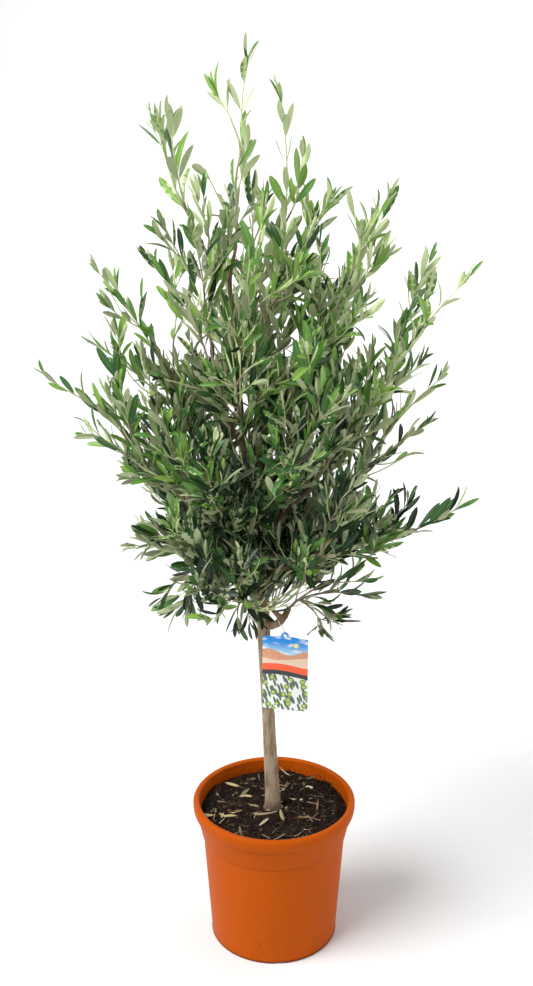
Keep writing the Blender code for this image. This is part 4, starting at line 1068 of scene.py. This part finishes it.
def make_twigs():
    """All the shoots and laterals as thin tubes, grey at the foot of the crown and green outwards."""
    lines = np.array([line for name, line, thick in shoots + inner + laterals])
    thick = np.array([thick for name, line, thick in shoots + inner + laterals])[:, None]
    radii = thick + (TIP_THICK - thick) * np.linspace(0, 1, POINTS)
    points = tube_points(lines, radii, TWIG_SIDES)
    t = np.tile(np.linspace(0, 1, POINTS - 1), (len(lines), 1))
    # wood is older, and so greyer, at the foot of a shoot and low in the crown
    age = 1 - t - 0.9 * (np.arange(len(lines)) >= len(shoots))[:, None] - (lines[:, 1:, 2] - 1.1)
    kind = np.where(age > 0.55, 0, np.where(age > 0.05, 1, 2))
    marks = np.concatenate((np.repeat(kind.ravel(), TWIG_SIDES), kind[:, (0, -1)].ravel()))
    finishes = [Finish("grey twig", (0.250, 0.195, 0.125), 0.8),
                Finish("sage twig", (0.50, 0.49, 0.28), 0.7),
                Finish("green twig", (0.56, 0.66, 0.30), 0.6)]
    return add_piece("twigs", points, tube_faces(len(lines), POINTS, TWIG_SIDES), finishes, marks,
                     sharp=80)


twigs = make_twigs()
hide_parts(*MASSES)

# ---- Leaves ----
# Their tints also carry painted light and shade: lighter high up and outside, darker in the crown's heart.
# Leathery lance-shaped leaves in opposite pairs along every shoot, with a tuft at each tip.
# They are glossy green above and felted silvery sage beneath, and palest on the young shoots.
# Each stands on its twig by its stalk.
LEAVES_TO_A_PIECE = 2600
BLADE = 0.048                   # length of a full-grown leaf
SHED = 0.10                     # share of the pairs' leaves that have dropped
LAST_PAIR = 0.96                # how far along a shoot its pairs go
SHOOT_FIRST, LATERAL_FIRST = 0.22, 0.10     # where the first pair stands on a shoot, on a lateral
SHOOT_PAIRS, LATERAL_PAIRS = 0.019, 0.016   # between pairs on a shoot, on a lateral,
TOP_PAIRS, TOP_START, TOP_RISE = 0.036, 1.15, 0.40      # and this much more towards the top
CREST_FROM, CREST_DEPTH = 1.40, 0.12        # the highest tufts have longer leaves
HEART_X, HEART_Z = -0.02, 0.86              # the crown's heart, where the leaves get painted shade
HEART_HALF_WIDTH, HEART_HALF_HEIGHT = 0.12, 0.13
OUTER_OPEN, INNER_OPEN = 0.45, 0.90         # share of leaves left out of a window,
LEADER_OPEN, FORK_OPEN = 0.85, 0.97         # before the leader and at the fork
SIGHT = 2.1                     # from the eye to the crown's middle
LEADER_FROM, LEADER_TO, LEADER_ROOM = 0.93, 1.27, 0.022    # where the leader shows through
LABEL_X, LABEL_ROOM, LABEL_TOP = 0.014, 0.044, 0.640       # kept free of leaves in front
# The shade at which each tint ends, then its colours: face, midrib and underside.
# The shade paints light and shade as well as age: the deep and dark tints stand for the crown's shadow, the
# lightest for its lit top and outside.
TINTS = {
    "deep": (0.30, (0.005, 0.022, 0.005), (0.045, 0.085, 0.026), (0.300, 0.340, 0.190)),
    "dark": (0.44, (0.016, 0.066, 0.015), (0.080, 0.150, 0.045), (0.400, 0.450, 0.260)),
    "full": (0.62, (0.038, 0.125, 0.023), (0.110, 0.205, 0.058), (0.450, 0.510, 0.290)),
    "fresh": (0.82, (0.088, 0.220, 0.034), (0.180, 0.325, 0.080), (0.480, 0.555, 0.300)),
    "young": (9.00, (0.185, 0.355, 0.058), (0.300, 0.460, 0.120), (0.520, 0.610, 0.320)),
}


def spray(random, line, first, spacing, size):
    """Leaves for one shoot: root, heading, face, length and width of each, and how far along it stands.

    Pairs stand a spacing apart, each a quarter turn from the last. They spread from 38 degrees at
    the foot to 20 at the tip, and their faces look up, outwards and to the shoot. A tuft of
    smaller leaves ends the shoot.
    """
    length = length_of(line)
    count = max(1, round((LAST_PAIR - first) * length / spacing))
    fraction = first + (LAST_PAIR - first) * (np.arange(count) + 0.5) / count
    fraction = np.repeat(np.clip(fraction + random.normal(size=count) * 0.10 / count, 0.03, 0.97), 2)
    turn = random.uniform(0, math.tau) + np.repeat(np.arange(count), 2) * math.pi / 2
    turn += np.tile((0, math.pi), count) + 0.25 * random.normal(size=2 * count)
    spread = np.radians(38 - 18 * fraction) + 0.15 * random.normal(size=2 * count)
    grown = size * (0.80 + 0.55 * fraction - 0.60 * fraction ** 3) * random.uniform(0.78, 1.15, 2 * count)
    keep = random.uniform(size=2 * count) > SHED
    tuft = random.integers(3, 6)
    fraction = np.concatenate((fraction[keep], np.full(tuft, 0.995)))
    turn = np.concatenate((turn[keep], random.uniform(0, math.tau) + np.arange(tuft) * 2.4))
    spread = np.concatenate((spread[keep], random.uniform(0.10, 0.45, tuft)))
    crest = 1 + 0.2 * np.clip((line[-1, 2] - CREST_FROM) / CREST_DEPTH, 0, 1)
    grown = np.concatenate((grown[keep], random.uniform(0.020, 0.040, tuft) * crest * size / BLADE))
    root, along = on_line(line, fraction)
    normal = square(np.broadcast_to(SKEW, along.shape), along)
    out = np.cos(turn)[:, None] * normal + np.sin(turn)[:, None] * np.cross(along, normal)
    heading = unit(np.cos(spread)[:, None] * along + np.sin(spread)[:, None] * out + (0, 0, 0.30))
    away = (root - (CROWN_AXIS_X, 0.0, 0.0)) * (1, 1, 0)
    away /= np.linalg.norm(away, axis=1, keepdims=True) + 1e-6
    face = 0.40 * along + 0.35 * away + (0, 0, 0.35) + 0.58 * random.normal(size=root.shape)
    ratio = np.concatenate((random.uniform(0.180, 0.250, keep.sum()), random.uniform(0.15, 0.21, tuft)))
    return root, heading, square(face, heading), grown, grown * ratio, fraction


def youth_and_painted_light(random, line):
    """How light a spray's leaves are, with painted light and shade: lighter high up and outside, where light
    falls and the young growth is, and darker in the crown's shaded heart.
    """
    middle = line[len(line) // 2]
    rise = (line[-1, 2] - CROWN_MIDDLE) / CROWN_HALF_HEIGHT
    round_it = CROWN_RADIUS * math.sqrt(max(0.05, 1 - rise ** 2))
    outward = min(1.3, math.hypot(middle[0] - CROWN_AXIS_X, middle[1]) / round_it)
    # painted shade: the leaves darken in the crown's heart
    heart = math.exp(-((middle[0] - HEART_X) / HEART_HALF_WIDTH) ** 2
                     - ((middle[2] - HEART_Z) / HEART_HALF_HEIGHT) ** 2)
    # painted light as well as young growth: lighter higher up and further out
    height = (min(middle[2], 1.30) - 0.68) / 0.75
    return 0.50 * height + 0.25 * outward + 0.15 * random.normal() + 0.17 - 0.20 * heart


def grow_leaves():
    """Every shoot's spray, and the shade of each leaf.

    Fewer leaves hang in the windows, before the leader and at the fork, and none over the label.
    """
    rows, shades = [], []
    for index, (name, line, thick) in enumerate(shoots + inner + laterals):
        random = np.random.default_rng((71, index))
        main = index < len(shoots)
        middle = line[POINTS // 2]
        spacing = SHOOT_PAIRS if main else LATERAL_PAIRS
        spacing += TOP_PAIRS * np.clip((middle[2] - TOP_START) / TOP_RISE, 0, 1) ** 1.5
        size = BLADE * (1.30 - 0.30 * fullness(middle)) * random.uniform(0.9, 1.1)
        row = spray(random, line, SHOOT_FIRST if main else LATERAL_FIRST, spacing, size)
        rows.append(row)
        shades.append(youth_and_painted_light(random, line) + 0.22 * (row[5] - 0.5) + 0.20 * random.normal(size=len(row[5])))
    parts = [np.concatenate(part) for part in zip(*rows)][:5]
    shade = np.concatenate(shades)
    root, heading, face, length, width = parts
    tip = root + heading * length[:, None]
    middle = root + heading * length[:, None] * 0.5
    level = middle[:, 2] + 0.25 * middle[:, 1]          # where the leader is seen behind the leaf
    aside = middle[:, 0] - on_trunk(level)[:, 0] * (1 + middle[:, 1] / SIGHT)
    before = (middle[:, 1] < -0.010) & (level > LEADER_FROM) & (level < LEADER_TO)
    leader = np.exp(-(aside / LEADER_ROOM) ** 2) * before
    fork = np.maximum(in_window(middle, FORK), in_window(tip, FORK))
    outer = np.concatenate([np.full(len(row[5]), index) for index, row in enumerate(rows)]) < outline_shoots
    window = in_window(middle) * np.where(outer, OUTER_OPEN, INNER_OPEN)
    chance = LEADER_OPEN * leader + FORK_OPEN * fork + window
    gone = np.random.default_rng(72).uniform(size=len(tip)) < chance
    for place in (root, middle, tip):
        gone |= ((np.abs(place[:, 0] - LABEL_X) < LABEL_ROOM) & (place[:, 2] < LABEL_TOP)
                 & (place[:, 1] < 0.0))
    return [part[~gone] for part in parts], shade[~gone]


def make_leaves():
    """A piece of leaves for each tint, or two or more where one would be too large."""
    random = np.random.default_rng(73)
    parts, shade = grow_leaves()
    parts += [random.uniform(-0.15, 0.75, len(shade)), 0.35 * random.normal(size=len(shade)),
              random.uniform(0.05, 0.60, len(shade))]       # bend, twist and fold
    low = -9.0
    for tint, (high, upper, rib, under) in TINTS.items():
        chosen = np.flatnonzero((shade >= low) & (shade < high))
        low = high
        finishes = [Finish(tint + " leaf", upper, 0.38).set(Specular_IOR_Level=0.38),
                    Finish(tint + " midrib", rib, 0.5), Finish(tint + " underside", under, 0.75)]
        pieces = math.ceil(len(chosen) / LEAVES_TO_A_PIECE)
        for number, some in enumerate(np.array_split(chosen, pieces), 1):
            points = leaf_points(*(part[some] for part in parts))
            leaves = add_piece("leaves_%s_%d" % (tint, number), points.reshape(-1, 3),
                               leaf_faces(len(some)), finishes, leaf_marks(len(some)), sharp=40)
            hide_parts(*MASSES)


make_leaves()

# ---- Label ----
# A printed plastic hang label with a round tab, hung by a loop of clear plastic from the elbow
# of the right bough. Its print is a sky over dunes, a red and a charcoal band, and green fruits
# among leaves.
CARD_WIDTH, CARD_HEIGHT, CARD_THICK = 0.082, 0.140, 0.0008
CARD_YAW = math.radians(-12)
TAB_RADIUS, HOLE_RADIUS = 0.007, 0.0026
SHOULDER = 0.6 * TAB_RADIUS     # from the hole's middle down to the card's body
TIE_X = 0.0060                  # where the loop goes round the right bough
TIE_LEAN = 0.013                # how far the card hangs to the right of it
TIE_DROP = 0.033                # from the top of the loop to the card's hole
TIE_RADIUS, TIE_SLACK, FIT = 0.0007, 0.003, 0.0003
TIE_STEPS, TIE_SIDES = 64, 10


def tie_hang():
    """Half the bough's width where the loop goes round it, and the loop's lowest point."""
    line, thick, thin = limbs["bough_elbow"]
    step = int(np.searchsorted(line[:, 0], TIE_X))
    along = unit(line[step] - line[step - 1])
    middle = np.array([np.interp(TIE_X, line[:, 0], line[:, axis]) for axis in range(3)])
    half = (thick + (thin - thick) * step / len(line)) / along[0]
    top = middle[2] + half + FIT + 1.6 * TIE_RADIUS
    return half, np.array((middle[0] + TIE_LEAN, middle[1], top - TIE_DROP))


def make_tie(finishes):
    """A closed loop: one sine across the bough, half a cosine up to it, in a round section."""
    half, low = tie_hang()
    turn = np.arange(TIE_STEPS) * math.tau / TIE_STEPS
    climb = 0.5 * (1 - np.cos(turn))
    line = low + np.stack((-TIE_LEAN * climb, (half + TIE_SLACK) * np.sin(turn), TIE_DROP * climb), -1)
    ahead = unit(np.roll(line, -1, axis=0) - np.roll(line, 1, axis=0))
    across = unit(np.cross(line[1] - line[0], line[2] - line[1]))
    out = np.cross(ahead, across)
    bend = (np.arange(TIE_SIDES) * math.tau / TIE_SIDES)[:, None]
    points = line[:, None] + TIE_RADIUS * (np.cos(bend) * across + np.sin(bend) * out[:, None])
    faces = grid_faces(TIE_STEPS + 1, TIE_SIDES) % (TIE_STEPS * TIE_SIDES)
    return add_piece("label_loop", points.reshape(-1, 3), [faces], finishes)


def card_edge(turn):
    """How far the card's edge lies from its hole at each turn: the body's box or the tab's circle."""
    across, up = np.cos(turn), np.sin(turn)
    side = 0.5 * CARD_WIDTH / np.maximum(np.abs(across), 1e-6)
    foot = np.where(up < 0, (SHOULDER + CARD_HEIGHT) / np.maximum(-up, 1e-6), 0.0)
    box = np.minimum(side, foot)
    inside = -up * box > SHOULDER - 1e-9
    return np.where(inside, np.maximum(box, TAB_RADIUS), TAB_RADIUS)


def make_card(finishes):
    """A closed ring of rows that runs from the hole over the front to the edge and back behind.

    A row's points lie at turns round the hole, and the card bows by a shallow parabola.
    """
    corner = math.atan2(SHOULDER, 0.5 * CARD_WIDTH)
    foot = math.atan2(SHOULDER + CARD_HEIGHT, 0.5 * CARD_WIDTH)
    tab = math.asin(SHOULDER / TAB_RADIUS)
    keys = [-foot, -math.pi + foot, -corner, -math.pi + corner, -tab, -math.pi + tab]
    keys += [-corner + 1e-4, -math.pi + corner - 1e-4]
    turn = np.unique(np.concatenate((np.linspace(-math.pi, math.pi, 181)[:-1], keys)))
    far = card_edge(turn)
    share = np.array((0.0, 0.02, 0.06, 0.15, 0.30, 0.50, 0.75, 1.0))[:, None]
    reach = HOLE_RADIUS + (far - HOLE_RADIUS) * share
    x, z = reach * np.cos(turn), reach * np.sin(turn)
    bow = 0.0016 * (1 - (2 * x / CARD_WIDTH) ** 2) * np.clip(-z / CARD_HEIGHT, 0, 1)
    front = np.stack((x, -0.5 * CARD_THICK - bow, z), -1)
    back = np.stack((x, 0.5 * CARD_THICK - bow, z), -1)[::-1]
    flat = np.concatenate((front, back)).reshape(-1, 3)
    rows, columns = 2 * len(share), len(turn)
    hang = tie_hang()[1] - (0.0, 0.0, HOLE_RADIUS - TIE_RADIUS - FIT)
    turned = np.stack((flat[:, 0] * math.cos(CARD_YAW) - flat[:, 1] * math.sin(CARD_YAW),
                       flat[:, 0] * math.sin(CARD_YAW) + flat[:, 1] * math.cos(CARD_YAW),
                       flat[:, 2]), -1)
    faces = grid_faces(rows + 1, columns) % (rows * columns)
    marks = np.repeat(np.arange(rows) >= len(share) - 1, columns).astype(int)
    card = add_piece("label_card", turned + hang, [faces], finishes, marks, sharp=40)
    where = flat[faces.ravel()]
    spread = np.stack((where[:, 0] / CARD_WIDTH + 0.5, 1 + (where[:, 2] + SHOULDER) / CARD_HEIGHT), -1)
    layer = card.data.uv_layers.new(name="card")
    layer.uv.foreach_set("vector", spread.astype(np.float32).ravel())
    return card


def make_print():
    """The card's print: sky with cloud and sun over two dunes, two curved bands, and fruits below."""
    card = Finish("printed label", roughness=0.28)
    spot = card.node("ShaderNodeUVMap", {"uv_map": "card"})
    u = card.node("ShaderNodeSeparateXYZ", {}, {"Vector": spot}, "X")
    v = card.node("ShaderNodeSeparateXYZ", {}, {"Vector": spot}, "Y")

    def pattern(kind, stretch, scale, output=None, **settings):
        """A texture over the card, stretched across and down it."""
        at = card.node("ShaderNodeMapping", {}, {"Vector": spot, "Scale": stretch})
        return card.node(kind, settings, {"Vector": at, "Scale": scale}, output)

    def wave(pitch, phase):
        """A sine of the place across the card."""
        angle = u * pitch + phase
        return angle.math("SINE", angle, 0.0)

    sky = card.mix(card.ease(v, 0.76, 0.96), (0.45, 0.76, 0.95), (0.006, 0.30, 0.88))
    puff = card.ease(pattern("ShaderNodeTexNoise", (2.4, 7.0, 1.0), 1.6), 0.50, 0.66)
    sky = card.mix(puff, sky, (0.93, 0.95, 0.97))
    sun_off = ((u - 0.74) * (u - 0.74) * 0.343 + (v - 0.905) * (v - 0.905)) < 0.0011
    sky = card.mix(sun_off, sky, (0.98, 0.86, 0.42))
    grain = pattern("ShaderNodeTexNoise", (1.0, 1.7, 1.0), 26.0)
    far = card.mix(grain, (0.62, 0.20, 0.10), (0.86, 0.50, 0.30))
    near = card.mix(grain, (0.78, 0.52, 0.34), (0.93, 0.76, 0.60))
    view = card.mix(v < wave(7.0, 0.6) * 0.035 + 0.800, sky, far)
    view = card.mix(v < wave(4.2, 3.4) * 0.025 + 0.715, view, near)
    cell = pattern("ShaderNodeTexVoronoi", (1.0, 1.7, 1.0), 6.4, "Distance", voronoi_dimensions="2D")
    tint = pattern("ShaderNodeTexVoronoi", (1.0, 1.7, 1.0), 6.4, "Color", voronoi_dimensions="2D")
    slant = card.node("ShaderNodeCombineXYZ", {}, {"X": u * 13 + v * 8, "Y": v * 6 - u * 2})
    blade = card.node("ShaderNodeTexVoronoi", {"voronoi_dimensions": "2D"},
                      {"Vector": slant, "Scale": 1.0}, "Distance")
    sprigs = card.mix(card.ease(blade, 0.34, 0.44), (0.090, 0.125, 0.095), (0.78, 0.80, 0.76))
    fruit = card.mix(card.ease(cell, 0.05, 0.42), (0.46, 0.62, 0.13), (0.080, 0.190, 0.025))
    sprigs = card.mix((cell < 0.40) * (tint > 0.50), sprigs, fruit)
    above = v - (wave(3.3, 0.5) * 0.030 + 0.555)        # height over the bands' curve
    tone = card.mix(above < 0.0, view, sprigs)
    tone = card.mix((above > -0.095) * (above < -0.034), tone, (0.030, 0.036, 0.036))
    tone = card.mix((above > -0.036) * (above < 0.055), tone, (0.93, 0.115, 0.035))
    return card.set(Base_Color=tone)


card = make_card([make_print(), Finish("label back", (0.80, 0.80, 0.77), 0.45)])
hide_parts("label")
tie = make_tie([Finish("clear loop", (0.80, 0.80, 0.74), 0.25)])
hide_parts("label_tie")

# ---- Floor, light and camera ----
# A pale matt studio floor that curves up into a wall all round, under a soft white sky. Two
# large soft lights stand to the left, and the camera looks a little down on the tree.
FLAT, BEND, WALL_TOP = 5.5, 3.5, 6.0        # where the floor starts to climb, its curve, its edge


def make_floor():
    """A dish: r runs outwards, and beyond the flat part z climbs on a quarter circle."""
    steps, columns = 32, 128
    turn = np.linspace(0, math.pi / 2, steps)
    radius = np.concatenate(((0.6, 1.6, 2.6), FLAT + BEND * np.sin(turn), (FLAT + BEND,)))
    height = np.concatenate((np.zeros(3), BEND * (1 - np.cos(turn)), (WALL_TOP,)))
    angle = np.arange(columns) * math.tau / columns
    points = around(radius[:, None], angle, height[:, None]).reshape(-1, 3)
    points = np.vstack((points, (0.0, 0.0, 0.0)))
    blocks = [grid_faces(len(radius), columns)[:, ::-1], fan_faces(len(points) - 1, 0, columns, False)]
    mesh = bpy.data.meshes.new("studio_floor")
    faces = [tuple(face) for block in blocks for face in block.tolist()]
    mesh.from_pydata(points.tolist(), [], faces)
    mesh.materials.append(Finish("studio floor", (0.80, 0.80, 0.80), 0.9).material)
    mesh.shade_smooth()
    floor = bpy.data.objects.new("studio_floor", mesh)
    scene.collection.objects.link(floor)
    return floor


make_floor()

world = bpy.data.worlds.new("soft sky")
world.use_nodes = True
world.node_tree.nodes["Background"].inputs["Color"].default_value = (1.0, 1.0, 1.0, 1.0)
world.node_tree.nodes["Background"].inputs["Strength"].default_value = 0.44
scene.world = world

# Each light's strength, its tilt from straight down, and its turn about the upright.
for name, strength, tilt, turn in (("soft key", 4.5, 46, -62), ("side fill", 1.3, 74, -95)):
    sun = bpy.data.lights.new(name, "SUN")
    sun.energy, sun.angle = strength, math.radians(42)
    light = bpy.data.objects.new(name, sun)
    light.rotation_euler = (math.radians(tilt), 0.0, math.radians(turn))
    scene.collection.objects.link(light)

lens = bpy.data.cameras.new("camera")
lens.lens = LENS
camera = bpy.data.objects.new("camera", lens)
camera.location = EYE
camera.rotation_euler = (EYE_TILT, 0.0, 0.0)
scene.collection.objects.link(camera)
scene.camera = camera
scene.view_settings.view_transform = "Standard"
